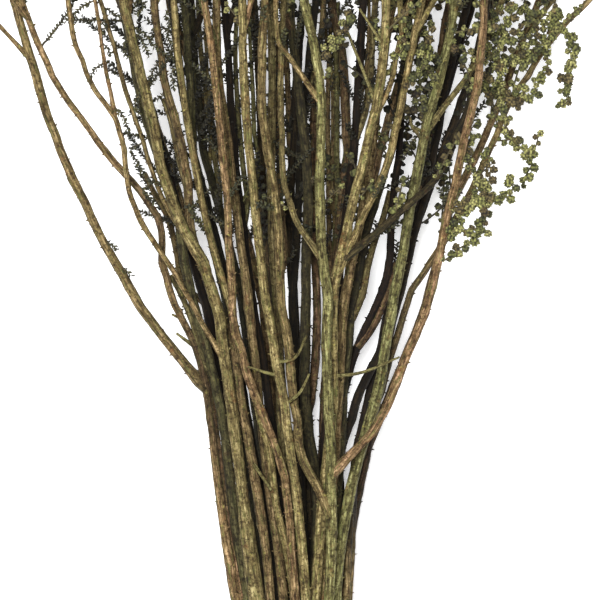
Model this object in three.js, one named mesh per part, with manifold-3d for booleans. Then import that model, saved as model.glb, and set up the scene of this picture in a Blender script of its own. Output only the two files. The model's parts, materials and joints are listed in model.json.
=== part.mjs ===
// Dried stoebe: a tied bunch of cut, branching stems with bobbly sprays, lying on its side.
// Millimetres. The stems run along +Y, from their cut ends to their tips, and +Z is up from the
// surface at z = 0. The origin is at the middle of the bottom of the bunch's box.
import * as THREE from 'three';
import Module from 'manifold-3d';

const wasm = await Module();
wasm.setup();

// Length of the bunch, and the spacing of the stations at which every stem's place is worked out
const cutEndY = -318;
const stationStep = 6;
const stationCount = 107;
const cutLengthSpread = 12;

// The bare neck below the fan, with the tie round it
const tieY = -276;
const tieHalfLength = 6;
const neckTopY = -220;
const neckRadius = 6.1;
const tieThickness = 2;
const tieClearance = 0.5;
const twinePitch = 3.2;
const twineTurns = 4;
const twineValley = 0.9;
const tieCorners = 22;
const knotRadius = 2.4;
const tailRadius = 0.9;

// How far apart the stems settle along the bunch, and how the settling is worked out
const gapAlong = [[-300, 0.8], [-288, 0.29], [-264, 0.29], [-235, 0.7], [-150, 0.9], [-60, 1.15], [60, 1.6]];
const slopeAllowance = 1.1;
const neckSlopeAllowance = 1.01;
const settleRounds = 90;
const clearingRounds = 25;
const pushShare = 0.45;
const sideEase = 0.15;
const heightEase = 0.04;
const straightening = 0.15;

// Stations over which a fork leaves its stem, rises to its own height and starts to wander
const forkStations = 5;
const forkRiseStations = 9;
const wanderStations = 12;

// Length over which the neck passes into the fan
const neckBlend = 60;

// A strand that lies on the surface is pressed down until its middle is this share of its reach up
const pressedLow = 0.7;

// How much lower the bunch is at its sides: well rounded on top, flattened underneath by its weight
const topRounding = 0.8;
const undersideRounding = 0.25;

// Twigs and bobbles
const bobbleRadius = 2;
const bobbleSideways = 0.6;
const bobblePitch = 15;
const sprayPitch = 6;
const twigPitch = 8;
const bobblyTipLength = 46;
const tipRadius = 0.7;
const twigRadius = 0.6;
const snagRadius = 0.9;
const twigLength = 30;
const twigTipRadius = 0.8;
const twigClearance = 0.45;
const leafyFromY = 14;
const twigSpacing = 250;
const twigAttempts = 8;
const attemptTurn = 2.4;
const twigLifts = [0, 3, -3, 6, -6, 10, -10, 15, -15, 20];
const smallBobble = 0.88;

// The box that free twigs and crown branches stay inside
const tipLimitY = 317;
const sideLimitX = 174;
const twigLowZ = 1.7;

// Side branches in the crown, on the stems that are thick enough for them
const crownBranchSpacing = 255;
const crownBranchFrom = 30;
const crownBranchStop = 100;
const crownBranchRadius = 1.2;
const crownLevelStep = 0.35;
const crownSideX = 170;
const thinnestWithCrown = 1.05;

const forkedStemSides = 5;
const plainStemSides = 4;
const branchSides = 4;
const crownSides = 3;
const twigSides = 3;

// Strands are straight between the stations that they keep, which lie further apart in the crown
const keptStride = 5;
const crownStride = 8;
const crownFromY = 50;

// Half width, half thickness and middle height of the whole bunch along its length
const widthAlong = [[-318, 17], [-276, 15], [-220, 25], [-100, 62], [32, 128], [150, 168], [320, 172]];
const thicknessAlong = [[-318, 15], [-276, 14], [-220, 14], [-100, 23], [32, 40], [150, 54], [320, 54]];
const middleAlong = [[-318, 17], [-276, 17], [-220, 18], [-100, 25], [32, 41], [150, 54], [320, 56]];

// How far a stem wanders from its route, least where the route is traced
const wanderAlong = [[-150, 0], [-60, 0.6], [32, 1], [110, 2.6]];

// Every stem with its branches. Radius is at the lower end, level is the height in the bunch from
// -1 underside to 1 top, and the route is seen from above as [x, y] points. A branch starts on its
// stem. Sprays are bobbly twigs with a route of their own, and snags are short bare twigs.
const stems = [
  { radius: 1.7, foot: 0.6, level: 0.25,
    route: [[-24, -220], [-31, -182], [-37, -136], [-41, -115], [-50, -96], [-55.5, -79], [-57, -64],
      [-60, -56], [-66, -49], [-75, -39], [-83, -28], [-93, -13], [-102, 2], [-114, 32], [-150, 110],
      [-166, 160], [-171, 204]],
    branches: [
      { radius: 2, level: -0.1,
        route: [[-38, -132], [-53, -113], [-66, -95], [-73.5, -81], [-82.5, -65], [-88.5, -52],
          [-94.5, -40], [-99.5, -29], [-105, -15], [-112, 7], [-119, 32], [-136, 110], [-146, 170],
          [-150, 236]],
        branches: [
          { radius: 0.9, level: -0.1,
            route: [[-110.5, 3], [-119, 9], [-125.5, 16], [-133, 30], [-143, 60], [-152, 112]] },
        ] },
    ],
    snags: [[[-38, -128], [-43, -124]], [[-41, -114], [-46, -111], [-50, -108]],
      [[-48, -101], [-52, -100]]] },
  { radius: 2.6, foot: 1, level: 0.55,
    route: [[-16, -220], [-19, -203], [-22, -178], [-25, -153], [-28, -132], [-32, -102], [-38, -79],
      [-44, -69], [-49.5, -58], [-57, -37], [-59.5, -23], [-65.5, 0], [-72, 32], [-84, 120], [-98, 290]],
    branches: [
      { radius: 1.2, level: 0.75,
        route: [[-31, -120], [-38, -109], [-43, -98], [-51, -82], [-58.5, -70], [-67, -55], [-71, -38],
          [-74, -22], [-77, -16], [-86, -4], [-92.5, 13], [-96, 32], [-104, 110], [-116, 232]],
        branches: [
          { radius: 0.9, level: 0.6,
            route: [[-76, -18], [-78, -6], [-80, 5], [-82, 17], [-84, 32], [-96, 90], [-106, 150]] },
        ] },
      { radius: 1, level: 0.4,
        route: [[-40, -84], [-48, -67], [-55, -54], [-63, -33], [-69, -14], [-73, -2], [-76, 13],
          [-80, 28], [-100, 90], [-122, 168]] },
    ] },
  { radius: 2.1, level: 0.3,
    route: [[-8, -220], [-11, -203], [-16, -174], [-19, -157], [-23, -136], [-26, -115], [-32, -98],
      [-37, -85], [-41, -73], [-44, -63], [-45, -54], [-45.5, -44], [-48, -31], [-55, -2], [-58, 32],
      [-72, 265]],
    snags: [[[-17, -165], [-10, -174]]] },
  { radius: 1.7, level: 0.5,
    route: [[-1, -220], [-3, -203], [-8, -182], [-11, -157], [-17, -136], [-23, -115], [-28, -94],
      [-34, -73], [-39, -50], [-45, -18], [-50, 11], [-52, 32], [-68, 298]] },
  { radius: 1.9, level: 0.75,
    route: [[2, -220], [-1, -203], [-3, -186], [-4, -170], [-11, -149], [-19, -128], [-25, -107],
      [-27, -73], [-28, -52], [-33, -14], [-38, 32], [-56, 275]] },
  { radius: 2.1, level: 0.9,
    route: [[6, -220], [3, -203], [1, -178], [-2, -153], [-4, -136], [-8, -119], [-13, -90], [-15, -73],
      [-18, -35], [-21, -2], [-23, 32], [-30, 150], [-38, 308]],
    snags: [[[-7, -127], [-14, -124], [-20, -122]], [[-8, -121], [-1, -119], [5, -109]],
      [[-4, -137], [2, -133], [6, -125]]] },
  { radius: 2.3, level: 0.95,
    route: [[14, -220], [15, -199], [15, -178], [15, -157], [14, -136], [13, -115], [14, -94], [12, -77],
      [11, -52], [10, -10], [8, 7], [4, 32], [-4, 150], [-14, 318]],
    branches: [
      { radius: 2, level: 0.8,
        route: [[14, -186], [10, -175], [6, -169], [2, -159], [1, -149], [-1, -136], [-3, -111], [-6, -98],
          [-7, -73], [-8, -52], [-11, -31], [-13, -10], [-14, 32], [-20, 254]] },
      { radius: 1.9, level: 1,
        route: [[15, -168], [22, -161], [29, -154], [35, -146], [39.5, -134], [42.5, -127], [46, -119],
          [50, -110], [54, -99], [57.5, -88], [60.5, -74], [63, -63], [67, -49], [70, -35], [73.5, -18],
          [76.5, -2], [78, 32], [84, 120], [92, 228]],
        sprays: [[[60, -78], [68, -75], [71, -71], [76, -67], [81, -65], [82, -58]]] },
      { radius: 1.3, level: 0.7,
        route: [[11, -80], [3, -73], [0, -65], [-3, -52], [-5, -39], [-6, -27], [-7, 0], [-5, 32],
          [0, 150]] },
      { radius: 1.1, level: 0.9,
        route: [[10, -14], [9, -8], [2, 1], [-5, 11], [-8, 32], [-10, 110], [-16, 214]] },
    ],
  },
  { radius: 2.4, level: 0.15,
    route: [[10, -220], [10, -178], [6, -153], [4, -128], [5, -94], [5, -52], [2, -10], [-1, 32],
      [4, 270]] },
  { radius: 2.3, level: 0.85,
    route: [[9, -220], [12, -178], [16, -136], [16, -107], [17, -86], [21, -69], [24, -52], [28, -35],
      [32, -18], [37, 7], [39, 32], [46, 150], [58, 300]],
    branches: [
      { radius: 1.6, level: 0.75,
        route: [[18, -82], [23, -71], [28, -60], [33, -50], [38, -37], [42, -23], [46, -6], [50, 11],
          [54, 32], [70, 150], [84, 284]] },
      { radius: 1.6, level: 0.2,
        route: [[20, -76], [27, -74], [31, -71], [36, -63], [42, -57], [48, -53], [60, -38], [72, -12],
          [82, 32], [92, 118]] },
      { radius: 1.1, level: 0.6,
        route: [[32, -23], [38, -14], [41, -2], [44, 15], [48, 32], [64, 110], [76, 200]] },
    ],
    snags: [[[34, -10], [21, 21]], [[37, 9], [27, 28]], [[17, -128], [26, -125], [44, -118]]] },
  { radius: 2.4, level: 0.5,
    route: [[15, -220], [17, -203], [21, -186], [23, -174], [26, -163], [29, -153], [36, -128], [39, -107],
      [42, -90], [46, -73], [50, -56], [53, -44], [56, -29], [58, -16], [61, -2], [64, 15], [66, 32],
      [80, 150], [96, 306]],
    branches: [
      { radius: 1.3, level: 0.35,
        route: [[57, -22], [60, -18], [67, -8], [74, 1], [78, 9], [84, 24], [88, 32], [112, 100],
          [132, 184]] },
    ],
    snags: [[[54, -27], [48, -20]], [[30, -172], [31, -153]]] },
  { radius: 2, level: -0.2,
    route: [[18, -220], [19, -203], [19, -182], [19, -165], [20, -157], [25, -141], [29, -130], [38, -111],
      [44, -90], [49, -69], [55, -48], [61, -23], [63, -10], [67, 7], [73, 32], [90, 120], [112, 255]] },
  { radius: 1.7, level: 0.1,
    route: [[22, -220], [22, -199], [24, -178], [26, -165], [30, -149], [37, -132], [40, -119], [44, -107],
      [49, -90], [55, -81], [63, -69], [67, -60], [74, -48], [81, -33], [85, -25], [88, -18], [92, -10],
      [98, -2], [103, 8], [109, 15], [116, 24], [124, 32], [152, 70], [168, 112], [173, 160]],
    sprays: [
      [[109, 15], [114, 15], [118, 11], [118, 5], [113, -2], [112, -10]],
      [[85, -25], [92, -27], [97, -30], [102, -36], [101, -41], [97, -46]],
      [[88, -18], [97, -24], [103, -20], [104, -30]],
    ] },
  { radius: 2, level: -0.25,
    route: [[-4, -220], [-18, -157], [-28, -94], [-42, -31], [-50, 11], [-53, 32], [-70, 252]] },
  { radius: 2.1, level: -0.6,
    route: [[-2, -220], [-14, -157], [-23, -94], [-38, -31], [-44, 32], [-62, 230]] },
  { radius: 1.9, level: -0.1,
    route: [[2, -220], [-8, -157], [-18, -94], [-25, -31], [-31, 32], [-46, 246]] },
  { radius: 2.2, level: -0.6,
    route: [[4, -220], [-2, -157], [-11, -94], [-14, -31], [-18, 32], [-26, 298]] },
  { radius: 2, level: -0.35, route: [[6, -220], [2, -157], [-1, -94], [2, -31], [10, 32], [24, 290]] },
  { radius: 2.3, level: -0.8,
    route: [[11, -220], [12, -157], [15, -94], [18, -60], [22, -31], [21, 10], [16, 32], [30, 272]] },
  { radius: 2.1, level: -0.2,
    route: [[15, -220], [13, -157], [18, -94], [24, -31], [30, 32], [50, 308]] },
  { radius: 1.8, level: -0.15,
    route: [[11, -220], [15, -165], [18, -144], [26, -114], [39, -84], [41, -60], [44, -31], [46, 32],
      [62, 242]] },
  { radius: 2.1, level: -0.8,
    route: [[16, -220], [25, -172], [31, -146], [37, -116], [45, -84], [50, -54], [57, -24], [66, 32],
      [92, 272]] },
  { radius: 2, level: -0.35, leafyFrom: -60,
    route: [[18, -220], [26, -157], [41, -94], [62, -31], [84, 32], [114, 130], [132, 242]] },
  { radius: 1.9, level: -1.15, leafyFrom: -60,
    route: [[17, -220], [28, -165], [40, -134], [50, -110], [55, -97], [60, -80], [66, -54], [80, -24],
      [104, 32], [138, 120], [160, 214]] },
  { radius: 2.1, level: -1.1,
    route: [[-6, -220], [-22, -157], [-36, -94], [-56, -31], [-62, -10], [-68, 11], [-73, 32], [-110, 130],
      [-136, 262]] },
  { radius: 2.2, level: -1.1,
    route: [[0, -220], [-6, -157], [-14, -94], [-32, -31], [-52, 32], [-84, 274]] },
  { radius: 2.2, level: -1.15,
    route: [[7, -220], [12, -157], [20, -94], [36, -31], [56, 32], [76, 280]] },
  { radius: 2.2, level: 0.3,
    route: [[-19, -220], [-25, -191], [-28, -165], [-32, -140], [-38, -113], [-43, -94], [-47, -77],
      [-50, -58], [-57, -37], [-63, -18], [-68, 11], [-71, 32], [-86, 226]] },
  { radius: 2.1, level: 0.1,
    route: [[-11, -220], [-21, -157], [-29, -94], [-43, -31], [-48, 32], [-54, 208]] },
  { radius: 2.1, level: 0.35,
    route: [[-5, -220], [-13, -157], [-20, -94], [-27, -31], [-33, 5], [-34, 32], [-36, 262]] },
  { radius: 2.2, level: 0.25,
    route: [[1, -220], [-5, -157], [-8, -94], [-10, -31], [-11, 32], [-8, 240]] },
  { radius: 2.2, level: -0.5,
    route: [[7, -220], [4, -157], [-1, -94], [-3, -60], [0, -31], [3, 32], [12, 250]] },
  { radius: 2.2, level: 0.35,
    route: [[11, -220], [17, -157], [21, -94], [32, -31], [42, 32], [54, 264]] },
  { radius: 2, level: 0.05,
    route: [[15, -220], [19, -157], [21, -125], [25, -94], [32, -60], [40, -31], [50, 32], [68, 222]] },
  { radius: 2.1, level: -0.5,
    route: [[17, -220], [27, -172], [32, -148], [38, -116], [47, -70], [56, -45], [63, -12], [76, 32],
      [102, 212]] },
  { radius: 2, level: -0.35,
    route: [[-13, -220], [-25, -157], [-38, -94], [-57, -31], [-67, 11], [-72, 32], [-100, 240]] },
];

// A number from 0 to 1 each time it is called, the same row of numbers for the same seed
function seededDraws(seed) {
  let state = seed;
  return () => {
    state = (state * 48271) % 2147483647;
    return state / 2147483647;
  };
}

// The value at y on a broken line of [y, value] points
function along(points, y) {
  if (y <= points[0][0]) return points[0][1];
  for (let i = 1; i < points.length; i++) {
    const [y1, v1] = points[i];
    const [y0, v0] = points[i - 1];
    if (y <= y1) return v0 + (v1 - v0) * (y - y0) / (y1 - y0);
  }
  return points[points.length - 1][1];
}

const bobbleReach = bobbleRadius + bobbleSideways;
const stationY = (k) => cutEndY + stationStep * k;
const nearestStation = (y) => Math.round((y - cutEndY) / stationStep);
const tieFrom = nearestStation(tieY - 2 * tieHalfLength);
const tieTo = nearestStation(tieY + 2 * tieHalfLength);
const smooth = (t) => {
  const s = Math.min(1, Math.max(0, t));
  return s * s * (3 - 2 * s);
};

// Height of a level above the surface
function levelHeight(level, x, y) {
  const side = Math.min(1, Math.abs(x) / along(widthAlong, y));
  const rounding = level > 0 ? topRounding : undersideRounding;
  const reach = along(thicknessAlong, y) * Math.sqrt(1 - rounding * side * side);
  return along(middleAlong, y) + level * reach;
}

// The stations that bend a strand: its ends, the start of its bobbly tip, and a shared row between
function stationsToKeep(first, tipFrom, last) {
  const kept = first < tieFrom ? [first, tieFrom] : [first];
  let k = tieTo;
  while (k < tipFrom - 1) {
    if (k > first + 1) kept.push(k);
    k += stationY(k) < crownFromY ? keptStride : crownStride;
  }
  return [...kept, tipFrom, last];
}

// A strand is a stem or a branch as places and radii at its stations, with where it wants to lie
function makeStrand(spec, node, parent, first, draw) {
  const byY = spec.route.map(([x, y]) => [y, x]);
  const wave = 110 + 60 * draw();
  const phase = 2 * Math.PI * draw();
  const last = nearestStation(byY[byY.length - 1][0]);
  const tipFrom = Math.max(first + 1, last - Math.round(bobblyTipLength / stationStep));
  const kept = stationsToKeep(first, tipFrom, last);
  const strand = { spec, node, parent, first, tipFrom, last, kept };
  for (const row of ['x', 'z', 'wantX', 'wantZ', 'radius', 'room']) strand[row] = [];
  for (let k = first; k <= last; k++) {
    const y = stationY(k);
    const t = (k - first) / (last - first);
    const wander = along(wanderAlong, y) * smooth((k - first) / wanderStations);
    const x = along(byY, y) + wander * Math.sin(2 * Math.PI * y / wave + phase);
    let z = levelHeight(spec.level, x, y) + wander * Math.cos(2.4 * Math.PI * y / wave + phase);
    if (parent) {
      const start = Math.min(k, parent.last);
      z = parent.wantZ[start] + (z - parent.wantZ[start]) * smooth((k - first) / forkRiseStations);
    }
    const foot = (spec.foot ?? 0) * (1 - smooth((y - neckTopY) / neckBlend));
    const radius = tipRadius + (spec.radius - tipRadius) * (1 - t ** 2.2) + foot;
    strand.wantX[k] = x;
    strand.wantZ[k] = z;
    strand.x[k] = x;
    strand.z[k] = z;
    strand.radius[k] = radius;
    strand.room[k] = k >= tipFrom ? bobbleReach : radius;
  }
  return strand;
}

// Below the fan the stems close up to the round neck, where they stay straight through the tie
function drawInNeck(strand) {
  const scaleX = neckRadius / along(widthAlong, neckTopY);
  const scaleZ = neckRadius / along(thicknessAlong, neckTopY);
  const top = nearestStation(neckTopY);
  const x = strand.wantX[top];
  const z = strand.wantZ[top];
  for (let k = strand.first; k < top; k++) {
    const y = stationY(k);
    const towardsTie = smooth((neckTopY - y) / (neckTopY - tieY - tieHalfLength));
    const splay = y < tieY ? 1 + 0.25 * smooth((tieY - tieHalfLength - y) / 30) : 1;
    const narrowX = x * scaleX * splay;
    const narrowZ = along(middleAlong, tieY) + (z - along(middleAlong, neckTopY)) * scaleZ * splay;
    strand.wantX[k] = x + (narrowX - x) * towardsTie;
    strand.wantZ[k] = z + (narrowZ - z) * towardsTie;
    strand.x[k] = strand.wantX[k];
    strand.z[k] = strand.wantZ[k];
  }
}

// Side branches that fill the crown above what the routes give, left and right in turn
function crownBranches(strand, draw) {
  const specs = [];
  let side = draw() < 0.5 ? -1 : 1;
  let y = Math.max(leafyFromY, stationY(strand.first) + crownBranchFrom) + 50 * draw();
  while (y < stationY(strand.last) - crownBranchStop) {
    const reach = side * (22 + 16 * draw());
    const length = Math.min(90 + 40 * draw(), stationY(stationCount - 2) - y);
    const step = draw() < 0.5 ? -crownLevelStep : crownLevelStep;
    const route = [[strand.wantX[nearestStation(y)], y]];
    for (const share of [0.25, 0.5, 1]) {
      const stemX = strand.wantX[Math.min(strand.last, nearestStation(y + length * share))];
      const x = stemX + reach * Math.sin(1.5 * share);
      route.push([Math.min(crownSideX, Math.max(-crownSideX, x)), y + length * share]);
    }
    const level = Math.min(1, Math.max(-1, strand.spec.level + step));
    specs.push({ radius: crownBranchRadius, level, route, crown: true });
    side = -side;
    y += crownBranchSpacing * (0.8 + 0.4 * draw());
  }
  return specs;
}

// Every stem and branch as a strand, each after what it grows from
function layOutStrands() {
  const draw = seededDraws(7);
  const strands = [];
  const addBranches = (parent) => {
    const own = parent.spec.branches ?? [];
    const bare = parent.spec.crown || parent.spec.radius < thinnestWithCrown;
    const crown = bare ? [] : crownBranches(parent, draw);
    for (const spec of [...own, ...crown]) {
      const branch = makeStrand(spec, parent.node, parent, nearestStation(spec.route[0][1]), draw);
      strands.push(branch);
      addBranches(branch);
    }
  };
  stems.forEach((spec, node) => {
    const cutShort = node % 5 ? cutLengthSpread * draw() : 0;
    const stem = makeStrand(spec, node, null, nearestStation(cutEndY + cutShort), draw);
    drawInNeck(stem);
    strands.push(stem);
    addBranches(stem);
  });
  return strands;
}

// Distance that two strands keep at a station; forks of one stem may start inside each other
function keepApart(a, b, k) {
  const y = stationY(k);
  const slope = y < neckTopY ? neckSlopeAllowance : slopeAllowance;
  const need = (a.room[k] + b.room[k]) * slope + along(gapAlong, y);
  if (a.node !== b.node) return need;
  return need * Math.min(1, (k - Math.max(a.first, b.first)) / forkStations);
}

// Straightens a strand between the stations that it keeps
function straighten(strand, values) {
  for (let i = 1; i < strand.kept.length; i++) {
    const from = strand.kept[i - 1];
    const to = strand.kept[i];
    for (let k = from + 1; k < to; k++) {
      values[k] = values[from] + (values[to] - values[from]) * (k - from) / (to - from);
    }
  }
}

// What the pushes along a strand ask of one kept station, the nearer ones counting more
function pushAt(strand, i, pushes) {
  const k = strand.kept[i];
  const before = strand.kept[i - 1] ?? k - 1;
  const after = strand.kept[i + 1] ?? k + 1;
  let sum = 0;
  let weights = 0;
  for (let j = before + 1; j < after; j++) {
    if (!pushes[j]) continue;
    const weight = j < k ? (j - before) / (k - before) : (after - j) / (after - k);
    sum += weight * pushes[j];
    weights += weight;
  }
  return sum / Math.max(1, weights);
}

// Pushes apart every two strands that come too near each other
function pushApart(strands) {
  for (const strand of strands) {
    strand.pushX = new Float64Array(stationCount);
    strand.pushZ = new Float64Array(stationCount);
  }
  for (let i = 0; i < strands.length; i++) {
    for (let j = i + 1; j < strands.length; j++) {
      const a = strands[i];
      const b = strands[j];
      for (let k = Math.max(a.first, b.first); k <= Math.min(a.last, b.last); k++) {
        const dx = b.x[k] - a.x[k];
        const dz = b.z[k] - a.z[k];
        const need = keepApart(a, b, k);
        const distance = Math.sqrt(dx * dx + dz * dz) + 1e-6;
        if (distance >= need) continue;
        const move = pushShare * (need - distance) / distance;
        a.pushX[k] -= move * dx;
        b.pushX[k] += move * dx;
        a.pushZ[k] -= move * dz;
        b.pushZ[k] += move * dz;
      }
    }
  }
}

// The lowest that a strand's middle may lie at a station
function floorAt(strand, k) {
  const onTie = tieThickness * (1 - smooth((stationY(k) - neckTopY) / neckBlend));
  return onTie + pressedLow * strand.room[k];
}

// How far a kept station moves to where it wants to lie, and to be pushed aside like its neighbours
function easeAt(strand, i, values, wanted, ease) {
  const k = strand.kept[i];
  const aside = (j) => values[j] - wanted[j];
  let move = -ease * aside(k);
  if (i > 0 && i < strand.kept.length - 1) {
    const before = strand.kept[i - 1];
    const after = strand.kept[i + 1];
    const between = aside(before) + (aside(after) - aside(before)) * (k - before) / (after - before);
    move += straightening * (between - aside(k));
  }
  return move;
}

// A branch starts inside what it grows from, and a stem runs straight through the tie
function holdEnds(strand, values, parentValues) {
  if (strand.parent) {
    values[strand.first] = parentValues[strand.first];
    return;
  }
  const middle = (values[tieFrom] + values[tieTo]) / 2;
  values[tieFrom] = middle;
  values[tieTo] = middle;
}

// Moves every strand until none crosses another, none is kinked and none is below the surface
function settle(strands) {
  for (const strand of strands) {
    straighten(strand, strand.x);
    straighten(strand, strand.z);
  }
  for (let round = 0; round < settleRounds; round++) {
    const easing = round < settleRounds - clearingRounds;
    pushApart(strands);
    for (const strand of strands) {
      const x = strand.x.slice();
      const z = strand.z.slice();
      strand.kept.forEach((k, i) => {
        strand.x[k] += pushAt(strand, i, strand.pushX);
        strand.z[k] += pushAt(strand, i, strand.pushZ);
        if (easing) {
          strand.x[k] += easeAt(strand, i, x, strand.wantX, sideEase);
          strand.z[k] += easeAt(strand, i, z, strand.wantZ, stationY(k) < neckTopY ? sideEase : heightEase);
        }
        strand.z[k] = Math.max(strand.z[k], floorAt(strand, k));
      });
      holdEnds(strand, strand.x, strand.parent?.x);
      holdEnds(strand, strand.z, strand.parent?.z);
      straighten(strand, strand.x);
      straighten(strand, strand.z);
    }
  }
}

const strands = layOutStrands();
settle(strands);

const pointAt = (strand, k) => new THREE.Vector3(strand.x[k], stationY(k), strand.z[k]);
const stationOn = (strand, y) => Math.min(strand.last, Math.max(strand.first, nearestStation(y)));
const alongX = (direction) => Math.abs(direction.x) > 0.9;

// A solid from rows of corner numbers and places
function solidFrom(positions, triangles) {
  return new wasm.Manifold(new wasm.Mesh({
    numProp: 3,
    vertProperties: new Float32Array(positions),
    triVerts: new Uint32Array(triangles),
  }));
}

// A closed tube through rings, each { at, radius }, with flat ends. A bobble's ring is turned by
// half a side, and nothing reaches below the surface.
function tubeSolid(rings, sides) {
  const positions = [];
  const triangles = [];
  const across = new THREE.Vector3();
  rings.forEach((ring, i) => {
    const before = rings[Math.max(0, i - 1)].at;
    const after = rings[Math.min(rings.length - 1, i + 1)].at;
    const tangent = after.clone().sub(before).normalize();
    if (i === 0) across.set(alongX(tangent) ? 0 : 1, 0, alongX(tangent) ? 1 : 0);
    across.addScaledVector(tangent, -across.dot(tangent)).normalize();
    const up = tangent.clone().cross(across);
    for (let s = 0; s < sides; s++) {
      const angle = 2 * Math.PI * (s + (ring.turned ? 0 : 0.5)) / sides;
      const corner = ring.at.clone()
        .addScaledVector(across, ring.radius * Math.cos(angle))
        .addScaledVector(up, ring.radius * Math.sin(angle));
      positions.push(corner.x, corner.y, Math.max(0, corner.z));
    }
  });
  for (let i = 0; i + 1 < rings.length; i++) {
    for (let s = 0; s < sides; s++) {
      const a = i * sides + s;
      const b = i * sides + (s + 1) % sides;
      if (rings[i + 1].turned) triangles.push(a, b, b + sides, a, b + sides, a + sides);
      else triangles.push(a, b, a + sides, b, b + sides, a + sides);
    }
  }
  const end = (rings.length - 1) * sides;
  for (let s = 1; s + 1 < sides; s++) {
    triangles.push(0, s + 1, s);
    triangles.push(end, end + s, end + s + 1);
  }
  return solidFrom(positions, triangles);
}

// Rings of a string of bobbles along a path, on alternate sides of it
function bobbleRings(path, pitch, rootRadius) {
  const curve = new THREE.CatmullRomCurve3(path);
  const count = Math.max(1, Math.round(curve.getLength() / pitch));
  const rings = [{ at: path[0].clone(), radius: rootRadius }];
  for (let i = 0; i < count; i++) {
    const middle = (i + 0.62) / count;
    const tangent = curve.getTangentAt(middle);
    const sideways = new THREE.Vector3(tangent.y, -tangent.x, 0.6).setLength(bobbleSideways);
    const at = curve.getPointAt(middle).addScaledVector(sideways, i % 2 ? 1 : -1);
    rings.push({ at, radius: bobbleRadius * (i % 2 ? 1 : smallBobble), turned: true });
    const neck = rootRadius + (twigRadius - rootRadius) * (i + 1) / count;
    const isTip = i + 1 === count;
    rings.push({ at: curve.getPointAt(isTip ? 1 : (i + 1) / count), radius: isTip ? twigTipRadius : neck });
  }
  return rings;
}

// What is already placed, as short capsules, so that later twigs keep clear of other stems
const placed = [];

function addCapsules(points, radii, strand) {
  for (let i = 1; i < points.length; i++) {
    placed.push({ a: points[i - 1], b: points[i], radius: Math.max(radii[i - 1], radii[i]), strand });
  }
}

const sameStem = (a, b) => a === b || a.parent === b || b.parent === a;

// Shortest distance between the straight pieces p0-p1 and q0-q1
function pieceDistance(p0, p1, q0, q1) {
  const u = p1.clone().sub(p0);
  const v = q1.clone().sub(q0);
  const w = p0.clone().sub(q0);
  const a = u.dot(u);
  const b = u.dot(v);
  const c = v.dot(v);
  const d = u.dot(w);
  const e = v.dot(w);
  const spread = a * c - b * b;
  let s = spread > 1e-9 ? Math.min(1, Math.max(0, (b * e - c * d) / spread)) : 0;
  let t = Math.min(1, Math.max(0, (b * s + e) / c));
  s = Math.min(1, Math.max(0, (b * t - d) / a));
  const away = w.clone().addScaledVector(u, s).addScaledVector(v, -t);
  return away.length();
}

// Whether a twig of a strand keeps clear of everything but that strand and its nearest kin
function isClear(points, radius, strand) {
  for (let i = 1; i < points.length; i++) {
    for (const other of placed) {
      if (sameStem(other.strand, strand)) continue;
      const need = radius + other.radius + twigClearance;
      if (Math.abs(points[i].y - other.a.y) > need + twigLength) continue;
      if (pieceDistance(points[i - 1], points[i], other.a, other.b) < need) return false;
    }
  }
  return true;
}

// Thick, forked stems are rounder than thin branches
function sidesOf(strand) {
  if (strand.spec.crown) return crownSides;
  if (strand.parent) return branchSides;
  return strand.spec.branches ? forkedStemSides : plainStemSides;
}

// A twig with a route seen from above; it rises or sinks until it is clear of the other stems
function routedTwig(strand, route, radius) {
  const start = pointAt(strand, stationOn(strand, route[0][1]));
  for (const lift of twigLifts) {
    const points = route.map(([x, y], i) => {
      if (i === 0) return start;
      const z = start.z + lift * smooth(1.6 * i / (route.length - 1));
      return new THREE.Vector3(x, y, Math.max(radius, z));
    });
    if (isClear(points, radius, strand)) return points;
  }
  return null;
}

const isInside = (p) => p.z > twigLowZ && p.y < tipLimitY && Math.abs(p.x) < sideLimitX;

// A twig that leaves its strand at a drawn angle round it, tried at several angles
function freeTwig(strand, k, draw) {
  const start = pointAt(strand, k);
  const forward = pointAt(strand, k + 1).sub(start).normalize();
  const across = new THREE.Vector3(0, 0, 1).cross(forward).normalize();
  const up = forward.clone().cross(across);
  const firstAngle = 2 * Math.PI * draw();
  const lean = 0.75 + 0.5 * draw();
  const length = twigLength * (0.75 + 0.5 * draw());
  const bend = 0.5 * (draw() - 0.35);
  for (let attempt = 0; attempt < twigAttempts; attempt++) {
    const angle = firstAngle + attemptTurn * attempt;
    const out = across.clone().multiplyScalar(Math.cos(angle)).addScaledVector(up, Math.sin(angle));
    const points = [0, 0.35, 0.7, 1].map((share) => start.clone()
      .addScaledVector(forward, length * share * Math.cos(lean) + length * bend * share * share)
      .addScaledVector(out, length * share * Math.sin(lean)));
    if (points.slice(1).every(isInside) && isClear(points, bobbleReach, strand)) return points;
  }
  return null;
}

const solids = stems.map(() => []);

// The strand itself: a tapering tube that ends in a few bobbles
function addStrand(strand) {
  const rings = strand.kept.slice(0, -1).map((k) => ({ at: pointAt(strand, k), radius: strand.radius[k] }));
  const tip = [];
  for (let k = strand.tipFrom; k <= strand.last; k++) tip.push(pointAt(strand, k));
  rings.push(...bobbleRings(tip, bobblePitch, strand.radius[strand.tipFrom]).slice(1));
  solids[strand.node].push(tubeSolid(rings, sidesOf(strand)));
}

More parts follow.
